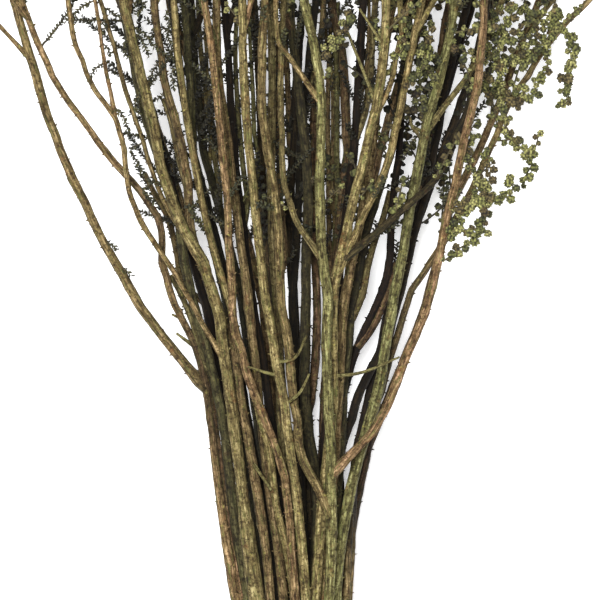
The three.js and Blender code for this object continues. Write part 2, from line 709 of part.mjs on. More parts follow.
// The short bare twigs and the bobbly sprays that have a route of their own
function addRoutedTwigs(strand) {
  for (const route of strand.spec.snags ?? []) {
    const points = routedTwig(strand, route, snagRadius);
    if (!points) continue;
    addCapsules(points, points.map(() => snagRadius), strand);
    const rings = points.map((at, i) => ({ at, radius: i ? twigRadius : snagRadius }));
    solids[strand.node].push(tubeSolid(rings, twigSides));
  }
  for (const route of strand.spec.sprays ?? []) {
    const points = routedTwig(strand, route, bobbleReach);
    if (!points) continue;
    addCapsules(points, points.map(() => bobbleReach), strand);
    solids[strand.node].push(tubeSolid(bobbleRings(points, sprayPitch, twigRadius), twigSides));
  }
}

// Bobbly twigs at drawn places along the leafy part of a strand
function addFreeTwigs(strand, draw) {
  const from = Math.max(strand.first + 3, nearestStation(strand.spec.leafyFrom ?? leafyFromY));
  let y = stationY(from) + 0.5 * twigSpacing * draw();
  while (y < stationY(strand.last) - bobblyTipLength) {
    const points = freeTwig(strand, nearestStation(y), draw);
    if (points) {
      addCapsules(points, points.map(() => bobbleReach), strand);
      solids[strand.node].push(tubeSolid(bobbleRings(points, twigPitch, twigRadius), twigSides));
    }
    y += twigSpacing * (0.7 + 0.6 * draw());
  }
}

for (const strand of strands) {
  const path = [];
  for (let k = strand.first; k <= strand.last; k++) path.push(pointAt(strand, k));
  addCapsules(path, path.map((p, i) => strand.room[strand.first + i]), strand);
}
strands.forEach(addStrand);
strands.forEach(addRoutedTwigs);
const twigDraw = seededDraws(41);
strands.forEach((strand) => addFreeTwigs(strand, twigDraw));

// A point of the tie's outline: the stem that reaches furthest in a direction, and how far out
function wrapPoint(angle, out, y) {
  const nx = Math.cos(angle);
  const nz = Math.sin(angle);
  const k = nearestStation(tieY);
  let reach = -Infinity;
  let point = null;
  for (const strand of strands) {
    if (strand.parent) continue;
    const radius = strand.radius[k] + out;
    const far = strand.x[k] * nx + strand.z[k] * nz + radius;
    if (far <= reach) continue;
    reach = far;
    point = [strand.x[k] + radius * nx, y, Math.max(0, strand.z[k] + radius * nz)];
  }
  return point;
}

// The tie is one ring: twine wound side by side and drawn tight, with a knot and two ends on top
function tieSolid() {
  const half = twinePitch * twineTurns / 2;
  const section = [[tieClearance, -half], [tieClearance, half], [tieClearance + twineValley, half]];
  for (let turn = 0; turn < twineTurns; turn++) {
    const y = half - twinePitch * (turn + 0.5);
    section.push([tieClearance + tieThickness, y]);
    section.push([tieClearance + twineValley, y - twinePitch / 2]);
  }
  const positions = [];
  const triangles = [];
  for (let c = 0; c < tieCorners; c++) {
    const angle = 2 * Math.PI * c / tieCorners;
    for (const [out, y] of section) positions.push(...wrapPoint(angle, out, tieY + y));
    for (let i = 0; i < section.length; i++) {
      const next = (i + 1) % section.length;
      const a = c * section.length;
      const b = ((c + 1) % tieCorners) * section.length;
      triangles.push(a + i, b + i, a + next, a + next, b + i, b + next);
    }
  }
  const ring = solidFrom(positions, triangles);
  const [x, y, z] = wrapPoint(Math.PI / 2, tieClearance + tieThickness, tieY);
  const knot = tubeSolid([
    { at: new THREE.Vector3(x - 4, y, z - 0.4), radius: 0.8 },
    { at: new THREE.Vector3(x - 1.6, y + 0.6, z + 0.3), radius: knotRadius },
    { at: new THREE.Vector3(x + 1.6, y - 0.6, z + 0.3), radius: knotRadius },
    { at: new THREE.Vector3(x + 4, y, z - 0.4), radius: 0.8 },
  ], 6);
  const tail = (side) => tubeSolid([
    { at: new THREE.Vector3(x + side, y, z + 0.4), radius: tailRadius },
    { at: new THREE.Vector3(x + 5 * side, y + 3 * side, z + 1.2), radius: tailRadius },
    { at: new THREE.Vector3(x + 8 * side, y + 9 * side, z + 1), radius: tailRadius },
    { at: new THREE.Vector3(x + 9 * side, y + 15 * side, z + 1.4), radius: tailRadius * 0.8 },
  ], 4);
  return ring.add(knot).add(tail(1)).add(tail(-1));
}

// A mesh with a material of its own
function meshFrom(solid, name, colour, roughness) {
  const { vertProperties, triVerts } = solid.getMesh();
  const geometry = new THREE.BufferGeometry();
  geometry.setAttribute('position', new THREE.BufferAttribute(new Float32Array(vertProperties), 3));
  geometry.setIndex(new THREE.BufferAttribute(new Uint32Array(triVerts), 1));
  geometry.computeVertexNormals();
  const material = new THREE.MeshStandardMaterial({ color: colour, roughness, metalness: 0 });
  const mesh = new THREE.Mesh(geometry, material);
  mesh.name = name;
  return mesh;
}

const group = new THREE.Group();
solids.forEach((parts, node) => {
  const whole = parts.reduce((sum, part) => sum.add(part));
  group.add(meshFrom(whole, `stem_${String(node + 1).padStart(2, '0')}`, 0x6e6546, 0.85));
});
group.add(meshFrom(tieSolid(), 'tie', 0xb59b6a, 0.95));

export default group;
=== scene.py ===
"""Dried stoebe: a tied bunch of cut, branching stems with bobbly sprays, lying on its side.

Places are worked out in millimetres in the part's own frame, the stems along +Y and +Z up from the
surface, and they turn into metres where a mesh is made.
"""
import json
import math

import bpy
import numpy as np
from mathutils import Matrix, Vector

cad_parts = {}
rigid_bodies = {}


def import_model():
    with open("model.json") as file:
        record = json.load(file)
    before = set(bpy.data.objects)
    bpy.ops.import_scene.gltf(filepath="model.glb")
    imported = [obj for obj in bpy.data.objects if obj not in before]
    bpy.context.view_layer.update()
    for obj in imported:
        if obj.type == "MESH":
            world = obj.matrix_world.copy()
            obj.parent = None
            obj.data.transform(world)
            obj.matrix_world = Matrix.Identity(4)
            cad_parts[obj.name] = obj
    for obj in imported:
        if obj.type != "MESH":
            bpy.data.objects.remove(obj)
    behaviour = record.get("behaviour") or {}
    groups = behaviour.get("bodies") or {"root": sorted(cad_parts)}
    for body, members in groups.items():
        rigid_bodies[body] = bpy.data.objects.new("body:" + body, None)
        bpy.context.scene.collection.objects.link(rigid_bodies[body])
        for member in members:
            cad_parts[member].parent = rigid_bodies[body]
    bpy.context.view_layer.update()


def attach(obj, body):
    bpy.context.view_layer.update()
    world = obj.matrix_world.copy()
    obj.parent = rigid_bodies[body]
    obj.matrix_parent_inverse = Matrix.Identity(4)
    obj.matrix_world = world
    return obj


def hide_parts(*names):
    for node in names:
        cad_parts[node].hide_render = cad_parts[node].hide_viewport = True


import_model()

MM = 0.001

# Length of the bunch, and the spacing of the stations at which every stem's place is worked out
CUT_END_Y = -318
STATION_STEP = 6
STATION_COUNT = 107
CUT_LENGTH_SPREAD = 12

# The bare neck below the fan, with the tie round it
TIE_Y = -276
TIE_HALF_LENGTH = 6
NECK_TOP_Y = -220
NECK_RADIUS = 6.1
TIE_THICKNESS = 2
TIE_CLEARANCE = 0.5

# How far apart the stems settle along the bunch, and how the settling is worked out
GAP_ALONG = [[-300, 0.8], [-288, 0.29], [-264, 0.29], [-235, 0.7], [-150, 0.9], [-60, 1.15], [60, 1.6]]
SLOPE_ALLOWANCE = 1.1
NECK_SLOPE_ALLOWANCE = 1.01
SETTLE_ROUNDS = 90
CLEARING_ROUNDS = 25
PUSH_SHARE = 0.45
SIDE_EASE = 0.15
HEIGHT_EASE = 0.04
STRAIGHTENING = 0.15

# Stations over which a fork leaves its stem, rises to its own height and starts to wander
FORK_STATIONS = 5
FORK_RISE_STATIONS = 9
WANDER_STATIONS = 12

# Length over which the neck passes into the fan
NECK_BLEND = 60

# A strand that lies on the surface is pressed down until its middle is this share of its reach up
PRESSED_LOW = 0.7

# How much lower the bunch is at its sides: well rounded on top, flattened underneath by its weight
TOP_ROUNDING = 0.8
UNDERSIDE_ROUNDING = 0.25

# Bobbly tips and the crown's side branches
BOBBLE_REACH = 2.6
BOBBLY_TIP_LENGTH = 46
TIP_RADIUS = 0.7
LEAFY_FROM_Y = 14
CROWN_BRANCH_SPACING = 255
CROWN_BRANCH_FROM = 30
CROWN_BRANCH_STOP = 100
CROWN_BRANCH_RADIUS = 1.2
CROWN_LEVEL_STEP = 0.35
CROWN_SIDE_X = 170
THINNEST_WITH_CROWN = 1.05

# Strands are worked out at the stations that they keep, which lie further apart in the crown
KEPT_STRIDE = 5
CROWN_STRIDE = 8
CROWN_FROM_Y = 50

# Half width, half thickness and middle height of the whole bunch along its length
WIDTH_ALONG = [[-318, 17], [-276, 15], [-220, 25], [-100, 62], [32, 128], [150, 168], [320, 172]]
THICKNESS_ALONG = [[-318, 15], [-276, 14], [-220, 14], [-100, 23], [32, 40], [150, 54], [320, 54]]
MIDDLE_ALONG = [[-318, 17], [-276, 17], [-220, 18], [-100, 25], [32, 41], [150, 54], [320, 56]]

# How far a stem wanders from its route, least where the route is traced
WANDER_ALONG = [[-150, 0], [-60, 0.6], [32, 1], [110, 2.6]]

# Main twigs: their size, how far they keep from other stems and the limits that they stay inside
TWIG_LENGTH = 30
TWIG_RADIUS = 0.6
SNAG_RADIUS = 0.9
TWIG_CLEARANCE = 0.45
TWIG_SPACING = 250
TWIG_ATTEMPTS = 8
ATTEMPT_TURN = 2.4
TWIG_LIFTS = [0, 3, -3, 6, -6, 10, -10, 15, -15, 20]
TIP_LIMIT_Y = 317
SIDE_LIMIT_X = 174
TWIG_LOW_Z = 1.7

# Bark: ring spacing in the fully modelled middle and elsewhere, kinks, wobbles, flutes and knots
MIDDLE_FROM_Y = -240
MIDDLE_TO_Y = 70
RING_SPACING = 1.6
FAR_RING_SPACING = 4
KINK_LIMIT = 2.4
ROOT_BLEND = 30
WOBBLE = 0.1
WOBBLE_LENGTH = 5.2
FLUTE_DEPTH = 0.045
ROUGHNESS = 0.02
KNOT_SPACING = 7
KNOTS_TO_Y = 120

# Sides of a stem's bark by the least radius that has them, and how fast the grain runs along it
BARK_SIDES = [(1.8, 12), (1.25, 9), (0, 7)]
BARK_GRAIN = 0.1

# Collar where a branch forks off, how far a thick root stays inside its parent, and the length over
# which it grows out of it
COLLAR_SWELL = 0.3
COLLAR_LENGTH = 4
COLLAR_FROM_ROOT = 4
ROOT_INSIDE = 0.85
ROOT_TAPER = 8

# Stubs of leaves and buds on the bark
THORN_SPACING = 3.1
THORN_LENGTH = 1.0
THORN_HALF_WIDTH = 0.38
THORNS_FROM_Y = -235
THORNS_TO_Y = 200

# Hue (0 grey-green, 0.5 olive-brown, 1 mauve-brown) and brightness of single strands' bark, by their
# number in the order in which they are laid out, and the hue of the snags. The brightness multiplies the
# painted shade: it darkens a strand partly for its own tone and partly as painted shadow where it lies behind
# others
BARK_LOOKS = {
    0: (0.8, 1), 1: (0.6, 0.8), 5: (0.4, 0.85), 6: (0.7, 1), 9: (0.6, 1), 11: (0.7, 1), 13: (0.45, 1),
    15: (0.85, 1), 17: (0.4, 1), 19: (0.1, 1), 20: (0.55, 0.8), 22: (0.9, 1), 24: (0.4, 0.7),
    26: (0.6, 1), 29: (0.2, 0.5), 31: (0.4, 1), 32: (0.5, 1), 34: (0.4, 0.15), 35: (0.6, 1),
    38: (0.05, 1), 39: (0.3, 1), 42: (0.55, 0.7), 44: (0.6, 0.85), 74: (0.15, 0.5),
}
SNAG_TINT = 0.2

# Snags: radius at the end, most of it at a knot, and sides
SNAG_END_RADIUS = 0.5
SNAG_MOST_RADIUS = 1.2
SNAG_SIDES = 6

# Bobbles: their pitch along a twig, their size, and their lumps, low and high against that size
BOBBLE_PITCH = 2.6
TRACED_PITCH = 2.15
BOBBLE_RADIUS = 1.6
BOBBLE_SPREAD = 0.5
TRACED_SIZE = 1.15
BOBBLE_OFFSET = 0.75
BOBBLE_FORMS = 8
LOW_REACH = 0.62
HIGH_REACH = 1.25
HIDDEN_SHADE = 0.3

# Bobbly tips: their twig against the strand's radius, and the size of their bobbles
TIP_TWIG_SHARE = 0.9
TIP_BOBBLE_SIZE = 1.1

# The twig under bobbles and under leaves: how much it wavers, how thin its tip is, and its sides
UNDER_BOBBLES = dict(waver=0.12, tip=0.7, sides=4)
UNDER_LEAVES = dict(waver=0.15, tip=0.6, sides=3)

# Leafy twigs: tiny pointed leaves in a spiral
TWIG_POINT_SPACING = 2.6
LEAF_PITCH = 0.65
LEAF_LENGTH = 2.5
LEAF_HALF_WIDTH = 0.9
GOLDEN_ANGLE = 2.4

# Fine twigs: their size, their spacing on hidden stems, on bare front ones and in the crown, the
# height from which they start there, and the length that stays bare at a strand's root and tip
FINE_TWIG_RADIUS = 0.42
FINE_TWIG_LENGTH = 20
FRONT_TWIG_LENGTH = 11
BACK_TWIG_SPACING = 17
FRONT_TWIG_SPACING = 70
CROWN_TWIG_SPACING = 25
CROWN_Y = 34
FRONT_TWIGS_FROM_Y = -60
BACK_TWIGS_FROM_Y = -72
BARE_AT_ROOT = 12
BARE_AT_TIP = 8
FRONT_LEVEL = 0.35

# Stems, counted from 0, that are bare up to the crown but for the twigs traced on them
BARE_STEMS = (0, 1, 2, 3)

# Main twigs that start left of this are leafy below the crown, and the rest are bobbly
LEAFY_SIDE_X = -20

# Thin shoots: sides, taper, least shade, spacing and length of their twigs, and where those start
SHOOT_SIDES = 7
SHOOT_TAPER = 0.7
SHOOT_SHADE = 0.5
SHOOT_TWIG_SPACING = 12
SHOOT_TWIG_LENGTH = 8
SHOOT_BARE_TO = -90

# The limits of the fine pieces, inside the box of the part
SIDE_LIMIT = 168
TOP_LIMIT = 315
HIGH_LIMIT = 118.5
LOW_LIMIT = 0.02

# Twine of the tie: turns, pitch, how its three plies are twisted, the knot's size, the two frayed
# ends and how fast the grain runs along it
VISUAL_TURNS = 5
VISUAL_PITCH = 2.45
TWINE_RADIUS = 1.1
TWINE_RING_SPACING = 0.7
PLY_TWIST = 5.5
PLY_SHARE = 0.54
PLY_SIDES = 7
KNOT_WIDTH = 1.15
KNOT_LENGTH = 0.75
KNOT_TWINE_RADIUS = 0.8
TAIL_RADIUS = 0.85
TAIL_ROUTE = [(1, 0, 0.4), (5, 3, 1.2), (8, 9, 1), (9, 15, 1.4)]
FRAYED_FIBRES = 14
FIBRE_LENGTH = 3
FIBRE_SPREAD = 0.35
TWINE_GRAIN = 0.5

# How finely the tie's outline, its turns and its knot are worked out, and the share of a turn round
# the outline at which the twine starts, on top
OUTLINE_STEPS = 180
TURN_POINTS = 60
KNOT_POINTS = 40
TOP_OF_TURN = 0.25

# Cut faces: how far they stand proud of the bark's end, their size against it, and their rings
CUT_LIFT = 0.06
CUT_SHARE = 0.93
CUT_RINGS = 4
CUT_SIDES = 12

# Stage, in metres: the photo's frame is 252 mm wide, and the camera is far off, so nothing looms
FLOOR_SIZE = 12
WORLD_LIGHT = 0.24
FLOOR_GLOW = 0.4
LIT_SPOT = (0, -0.06, 0.04)
CAMERA_HEIGHT = 6
CAMERA_FOCUS = 0.05
PHOTO_WIDTH = 0.252
PHOTO_X = 0.0021
PHOTO_Y = -0.094

# Every stem with its branches. Radius is at the lower end, foot is what the neck adds to it, level
# is the height in the bunch from -1 underside to 1 top, and the route is seen from above as [x, y]
# points. A branch starts on its stem. Sprays are bobbly twigs with a route of their own, snags are
# short bare twigs, and leafy_from is the y from which main twigs grow.
STEMS = [
    dict(radius=1.7, foot=0.6, level=0.25, route=[[-24, -220], [-31, -182], [-37, -136], [-41, -115],
        [-50, -96], [-55.5, -79], [-57, -64], [-60, -56], [-66, -49], [-75, -39], [-83, -28], [-93, -13],
        [-102, 2], [-114, 32], [-150, 110], [-166, 160], [-171, 204]],
        snags=[[[-38, -128], [-43, -124]], [[-41, -114], [-46, -111], [-50, -108]],
            [[-48, -101], [-52, -100]]],
        branches=[
            dict(radius=2, level=-0.1, route=[[-38, -132], [-53, -113], [-66, -95], [-73.5, -81],
                [-82.5, -65], [-88.5, -52], [-94.5, -40], [-99.5, -29], [-105, -15], [-112, 7], [-119, 32],
                [-136, 110], [-146, 170], [-150, 236]],
                branches=[
                    dict(radius=0.9, level=-0.1, route=[[-110.5, 3], [-119, 9], [-125.5, 16], [-133, 30],
                        [-143, 60], [-152, 112]])])]),
    dict(radius=2.6, foot=1, level=0.55, route=[[-16, -220], [-19, -203], [-22, -178], [-25, -153],
        [-28, -132], [-32, -102], [-38, -79], [-44, -69], [-49.5, -58], [-57, -37], [-59.5, -23],
        [-65.5, 0], [-72, 32], [-84, 120], [-98, 290]],
        branches=[
            dict(radius=1.2, level=0.75, route=[[-31, -120], [-38, -109], [-43, -98], [-51, -82],
                [-58.5, -70], [-67, -55], [-71, -38], [-74, -22], [-77, -16], [-86, -4], [-92.5, 13],
                [-96, 32], [-104, 110], [-116, 232]],
                branches=[
                    dict(radius=0.9, level=0.6, route=[[-76, -18], [-78, -6], [-80, 5], [-82, 17],
                        [-84, 32], [-96, 90], [-106, 150]])]),
            dict(radius=1, level=0.4, route=[[-40, -84], [-48, -67], [-55, -54], [-63, -33], [-69, -14],
                [-73, -2], [-76, 13], [-80, 28], [-100, 90], [-122, 168]])]),
    dict(radius=2.1, level=0.3, route=[[-8, -220], [-11, -203], [-16, -174], [-19, -157], [-23, -136],
        [-26, -115], [-32, -98], [-37, -85], [-41, -73], [-44, -63], [-45, -54], [-45.5, -44], [-48, -31],
        [-55, -2], [-58, 32], [-72, 265]],
        snags=[[[-17, -165], [-10, -174]]]),
    dict(radius=1.7, level=0.5, route=[[-1, -220], [-3, -203], [-8, -182], [-11, -157], [-17, -136],
        [-23, -115], [-28, -94], [-34, -73], [-39, -50], [-45, -18], [-50, 11], [-52, 32], [-68, 298]]),
    dict(radius=1.9, level=0.75, route=[[2, -220], [-1, -203], [-3, -186], [-4, -170], [-11, -149],
        [-19, -128], [-25, -107], [-27, -73], [-28, -52], [-33, -14], [-38, 32], [-56, 275]]),
    dict(radius=2.1, level=0.9, route=[[6, -220], [3, -203], [1, -178], [-2, -153], [-4, -136], [-8, -119],
        [-13, -90], [-15, -73], [-18, -35], [-21, -2], [-23, 32], [-30, 150], [-38, 308]],
        snags=[[[-7, -127], [-14, -124], [-20, -122]], [[-8, -121], [-1, -119], [5, -109]],
            [[-4, -137], [2, -133], [6, -125]]]),
    dict(radius=2.3, level=0.95, route=[[14, -220], [15, -199], [15, -178], [15, -157], [14, -136],
        [13, -115], [14, -94], [12, -77], [11, -52], [10, -10], [8, 7], [4, 32], [-4, 150], [-14, 318]],
        branches=[
            dict(radius=2, level=0.8, route=[[14, -186], [10, -175], [6, -169], [2, -159], [1, -149],
                [-1, -136], [-3, -111], [-6, -98], [-7, -73], [-8, -52], [-11, -31], [-13, -10], [-14, 32],
                [-20, 254]]),
            dict(radius=1.9, level=1, route=[[15, -168], [22, -161], [29, -154], [35, -146], [39.5, -134],
                [42.5, -127], [46, -119], [50, -110], [54, -99], [57.5, -88], [60.5, -74], [63, -63],
                [67, -49], [70, -35], [73.5, -18], [76.5, -2], [78, 32], [84, 120], [92, 228]],
                sprays=[[[60, -78], [68, -75], [71, -71], [76, -67], [81, -65], [82, -58]]]),
            dict(radius=1.3, level=0.7, route=[[11, -80], [3, -73], [0, -65], [-3, -52], [-5, -39],
                [-6, -27], [-7, 0], [-5, 32], [0, 150]]),
            dict(radius=1.1, level=0.9, route=[[10, -14], [9, -8], [2, 1], [-5, 11], [-8, 32], [-10, 110],
                [-16, 214]])]),
    dict(radius=2.4, level=0.15, route=[[10, -220], [10, -178], [6, -153], [4, -128], [5, -94], [5, -52],
        [2, -10], [-1, 32], [4, 270]]),
    dict(radius=2.3, level=0.85, route=[[9, -220], [12, -178], [16, -136], [16, -107], [17, -86], [21, -69],
        [24, -52], [28, -35], [32, -18], [37, 7], [39, 32], [46, 150], [58, 300]],
        snags=[[[34, -10], [21, 21]], [[37, 9], [27, 28]], [[17, -128], [26, -125], [44, -118]]],
        branches=[
            dict(radius=1.6, level=0.75, route=[[18, -82], [23, -71], [28, -60], [33, -50], [38, -37],
                [42, -23], [46, -6], [50, 11], [54, 32], [70, 150], [84, 284]]),
            dict(radius=1.6, level=0.2, route=[[20, -76], [27, -74], [31, -71], [36, -63], [42, -57],
                [48, -53], [60, -38], [72, -12], [82, 32], [92, 118]]),
            dict(radius=1.1, level=0.6, route=[[32, -23], [38, -14], [41, -2], [44, 15], [48, 32],
                [64, 110], [76, 200]])]),
    dict(radius=2.4, level=0.5, route=[[15, -220], [17, -203], [21, -186], [23, -174], [26, -163],
        [29, -153], [36, -128], [39, -107], [42, -90], [46, -73], [50, -56], [53, -44], [56, -29],
        [58, -16], [61, -2], [64, 15], [66, 32], [80, 150], [96, 306]],
        snags=[[[54, -27], [48, -20]], [[30, -172], [31, -153]]],
        branches=[
            dict(radius=1.3, level=0.35, route=[[57, -22], [60, -18], [67, -8], [74, 1], [78, 9], [84, 24],
                [88, 32], [112, 100], [132, 184]])]),
    dict(radius=2, level=-0.2, route=[[18, -220], [19, -203], [19, -182], [19, -165], [20, -157],
        [25, -141], [29, -130], [38, -111], [44, -90], [49, -69], [55, -48], [61, -23], [63, -10], [67, 7],
        [73, 32], [90, 120], [112, 255]]),
    dict(radius=1.7, level=0.1, route=[[22, -220], [22, -199], [24, -178], [26, -165], [30, -149],
        [37, -132], [40, -119], [44, -107], [49, -90], [55, -81], [63, -69], [67, -60], [74, -48],
        [81, -33], [85, -25], [88, -18], [92, -10], [98, -2], [103, 8], [109, 15], [116, 24], [124, 32],
        [152, 70], [168, 112], [173, 160]],
        sprays=[[[109, 15], [114, 15], [118, 11], [118, 5], [113, -2], [112, -10]],
            [[85, -25], [92, -27], [97, -30], [102, -36], [101, -41], [97, -46]],
            [[88, -18], [97, -24], [103, -20], [104, -30]]]),
    dict(radius=2, level=-0.25, route=[[-4, -220], [-18, -157], [-28, -94], [-42, -31], [-50, 11],
        [-53, 32], [-70, 252]]),
    dict(radius=2.1, level=-0.6, route=[[-2, -220], [-14, -157], [-23, -94], [-38, -31], [-44, 32],
        [-62, 230]]),
    dict(radius=1.9, level=-0.1, route=[[2, -220], [-8, -157], [-18, -94], [-25, -31], [-31, 32],
        [-46, 246]]),
    dict(radius=2.2, level=-0.6, route=[[4, -220], [-2, -157], [-11, -94], [-14, -31], [-18, 32],
        [-26, 298]]),
    dict(radius=2, level=-0.35, route=[[6, -220], [2, -157], [-1, -94], [2, -31], [10, 32], [24, 290]]),
    dict(radius=2.3, level=-0.8, route=[[11, -220], [12, -157], [15, -94], [18, -60], [22, -31], [21, 10],
        [16, 32], [30, 272]]),
    dict(radius=2.1, level=-0.2, route=[[15, -220], [13, -157], [18, -94], [24, -31], [30, 32], [50, 308]]),
    dict(radius=1.8, level=-0.15, route=[[11, -220], [15, -165], [18, -144], [26, -114], [39, -84],
        [41, -60], [44, -31], [46, 32], [62, 242]]),
    dict(radius=2.1, level=-0.8, route=[[16, -220], [25, -172], [31, -146], [37, -116], [45, -84],
        [50, -54], [57, -24], [66, 32], [92, 272]]),
    dict(radius=2, level=-0.35, leafy_from=-60, route=[[18, -220], [26, -157], [41, -94], [62, -31],
        [84, 32], [114, 130], [132, 242]]),
    dict(radius=1.9, level=-1.15, leafy_from=-60, route=[[17, -220], [28, -165], [40, -134], [50, -110],
        [55, -97], [60, -80], [66, -54], [80, -24], [104, 32], [138, 120], [160, 214]]),
    dict(radius=2.1, level=-1.1, route=[[-6, -220], [-22, -157], [-36, -94], [-56, -31], [-62, -10],
        [-68, 11], [-73, 32], [-110, 130], [-136, 262]]),
    dict(radius=2.2, level=-1.1, route=[[0, -220], [-6, -157], [-14, -94], [-32, -31], [-52, 32],
        [-84, 274]]),
    dict(radius=2.2, level=-1.15, route=[[7, -220], [12, -157], [20, -94], [36, -31], [56, 32], [76, 280]]),
    dict(radius=2.2, level=0.3, route=[[-19, -220], [-25, -191], [-28, -165], [-32, -140], [-38, -113],
        [-43, -94], [-47, -77], [-50, -58], [-57, -37], [-63, -18], [-68, 11], [-71, 32], [-86, 226]]),
    dict(radius=2.1, level=0.1, route=[[-11, -220], [-21, -157], [-29, -94], [-43, -31], [-48, 32],
        [-54, 208]]),
    dict(radius=2.1, level=0.35, route=[[-5, -220], [-13, -157], [-20, -94], [-27, -31], [-33, 5],
        [-34, 32], [-36, 262]]),
    dict(radius=2.2, level=0.25, route=[[1, -220], [-5, -157], [-8, -94], [-10, -31], [-11, 32],
        [-8, 240]]),
    dict(radius=2.2, level=-0.5, route=[[7, -220], [4, -157], [-1, -94], [-3, -60], [0, -31], [3, 32],
        [12, 250]]),
    dict(radius=2.2, level=0.35, route=[[11, -220], [17, -157], [21, -94], [32, -31], [42, 32], [54, 264]]),
    dict(radius=2, level=0.05, route=[[15, -220], [19, -157], [21, -125], [25, -94], [32, -60], [40, -31],
        [50, 32], [68, 222]]),
    dict(radius=2.1, level=-0.5, route=[[17, -220], [27, -172], [32, -148], [38, -116], [47, -70],
        [56, -45], [63, -12], [76, 32], [102, 212]]),
    dict(radius=2, level=-0.35, route=[[-13, -220], [-25, -157], [-38, -94], [-57, -31], [-67, 11],
        [-72, 32], [-100, 240]]),
]

# Bobbly twigs that the photo shows one by one: the stem they grow on, how far they rise towards
# the viewer, their route seen from above, and for some a painted shade that darkens twigs lying in shadow
# behind a stem
TRACED_TWIGS = [
    dict(stem=10, shade=0.3, rise=2, route=[[57.1, 0.5], [54.2, 2.6], [51.7, 6]]),
    dict(stem=10, shade=0.3, rise=-2, route=[[57.5, -6.6], [54.2, -5], [51.2, -2.4], [49.6, 0.9]]),
    dict(stem=10, shade=0.3, route=[[56.7, -13.4], [53.3, -10.8], [50.4, -9.2], [48.3, -6.6]]),
    dict(stem=10, shade=0.3, rise=-2, route=[[55.9, -17.6], [52.9, -15], [50, -14.2]]),
    dict(stem=10, shade=0.3, route=[[58, 6.8], [54.6, 10.2], [51.7, 11.8]]),
    dict(stem=7, rise=3, route=[[61.3, -78], [67.2, -75.5], [69.7, -71.7], [73.5, -70.5], [74.3, -67.5],
        [76.4, -65.9], [79, -65.4], [81.1, -65.9]]),
    dict(stem=7, rise=3, route=[[63.5, -70], [67, -64], [69.5, -59], [71.5, -55.5], [74, -54.5]]),
    dict(stem=7, rise=4, route=[[78, -66], [79.8, -61], [80.2, -57], [80.2, -54], [79.4, -50]]),
    dict(stem=7, rise=4, route=[[66, -58], [73.5, -52], [77, -47.8], [77.7, -42.8], [74.3, -40.2],
        [73.5, -35.2], [71.8, -31], [74.3, -26.8], [77, -25]]),
    dict(stem=7, rise=5, route=[[67, -54], [76, -54], [80.2, -52], [79.8, -47.8], [81.5, -43.6],
        [81.9, -38.6], [80.6, -31]]),
    dict(stem=7, rise=4, route=[[67, -54], [79.4, -52.6], [84.8, -50.3], [89.5, -50.7], [91.1, -47.8],
        [91, -44.4], [90.3, -42.8]]),
    dict(stem=12, rise=4, route=[[84, -27], [88.6, -26.8], [93.2, -26.4], [94.5, -29.3], [98.7, -33.5],
        [99.5, -36.5], [97.5, -41], [96.2, -46.1]]),
    dict(stem=12, rise=4, route=[[88, -18], [95, -30], [99.5, -33.5], [101.2, -29.7], [102.1, -26.4],
        [103.3, -23.9]]),
    dict(stem=12, rise=4, route=[[112.6, 19.4], [116.3, 16.5], [117.2, 12.7], [115.5, 10.2], [116.3, 7.6],
        [115.5, 5.1], [116.3, 3.4], [112.6, -0.8], [115.5, -3.3], [112.1, -6.6], [115.5, -10],
        [110.5, -12.5]]),
    dict(stem=12, rise=4, route=[[107, 12], [106.3, 4.3], [105, 0.5], [101.2, -1.6], [101.2, -5.8],
        [102.5, -7.9]]),
    dict(stem=12, rise=5, route=[[98, -2], [92, -6.2], [88.6, -9.2], [85.3, -12.1], [88.2, -16.3],
        [90.3, -17.6]]),
    dict(stem=12, rise=5, route=[[112, 19.5], [109.6, 28.6], [108.4, 26.1], [105, 25.7], [100.8, 25.7],
        [98.7, 27.8], [94.5, 27]]),
    dict(stem=12, rise=6, route=[[113, 20], [109.2, 19.4], [107.1, 17.3], [105, 14.4], [102.9, 13.1],
        [100.8, 11], [97.9, 6], [94.5, 6], [90.3, 6], [88.2, 4.7]]),
    dict(stem=12, rise=7, route=[[114, 22], [107.9, 22.8], [105, 21.5], [101.2, 18.1], [98.7, 15.2],
        [96.6, 10.2], [95.3, 8.9]]),
    dict(stem=10, rise=5, route=[[64, 15], [72, 10], [79.8, 7], [84.8, 10.2], [86.1, 16], [90.3, 16],
        [94.5, 19.4], [97.9, 23.6]]),
    dict(stem=10, rise=5, route=[[80, 12], [86.1, 6.8], [84.8, 2], [88.2, 2.6]]),
    dict(stem=10, rise=5, route=[[76, 14], [84.8, 18], [88.2, 22], [91, 26], [92.4, 29]]),
    dict(stem=10, rise=4, route=[[78, 20], [84, 25], [88, 28.6], [91, 30]]),
    dict(stem=12, rise=4, route=[[98, -4], [97, -9], [94, -12.1], [92, -11]]),
    dict(stem=10, rise=4, route=[[76, 4], [79.8, -1.6], [82.7, -2.9], [86.1, -2.4], [87.4, -3.3]]),
    dict(stem=12, rise=4, route=[[92, -12], [86, -4], [84, -6.6], [79.8, -5]]),
    dict(stem=9, rise=3, route=[[42, 6], [46, 14], [47, 20], [50, 27]]),
    dict(stem=9, rise=3, route=[[46, -6], [51, 0], [55, 6], [53, 12]]),
    dict(stem=10, rise=3, route=[[61, -4], [55, 2], [54, 10], [57, 22]]),
    dict(stem=7, rise=2, route=[[8, 6], [14, 12], [19, 17], [22, 26]]),
]

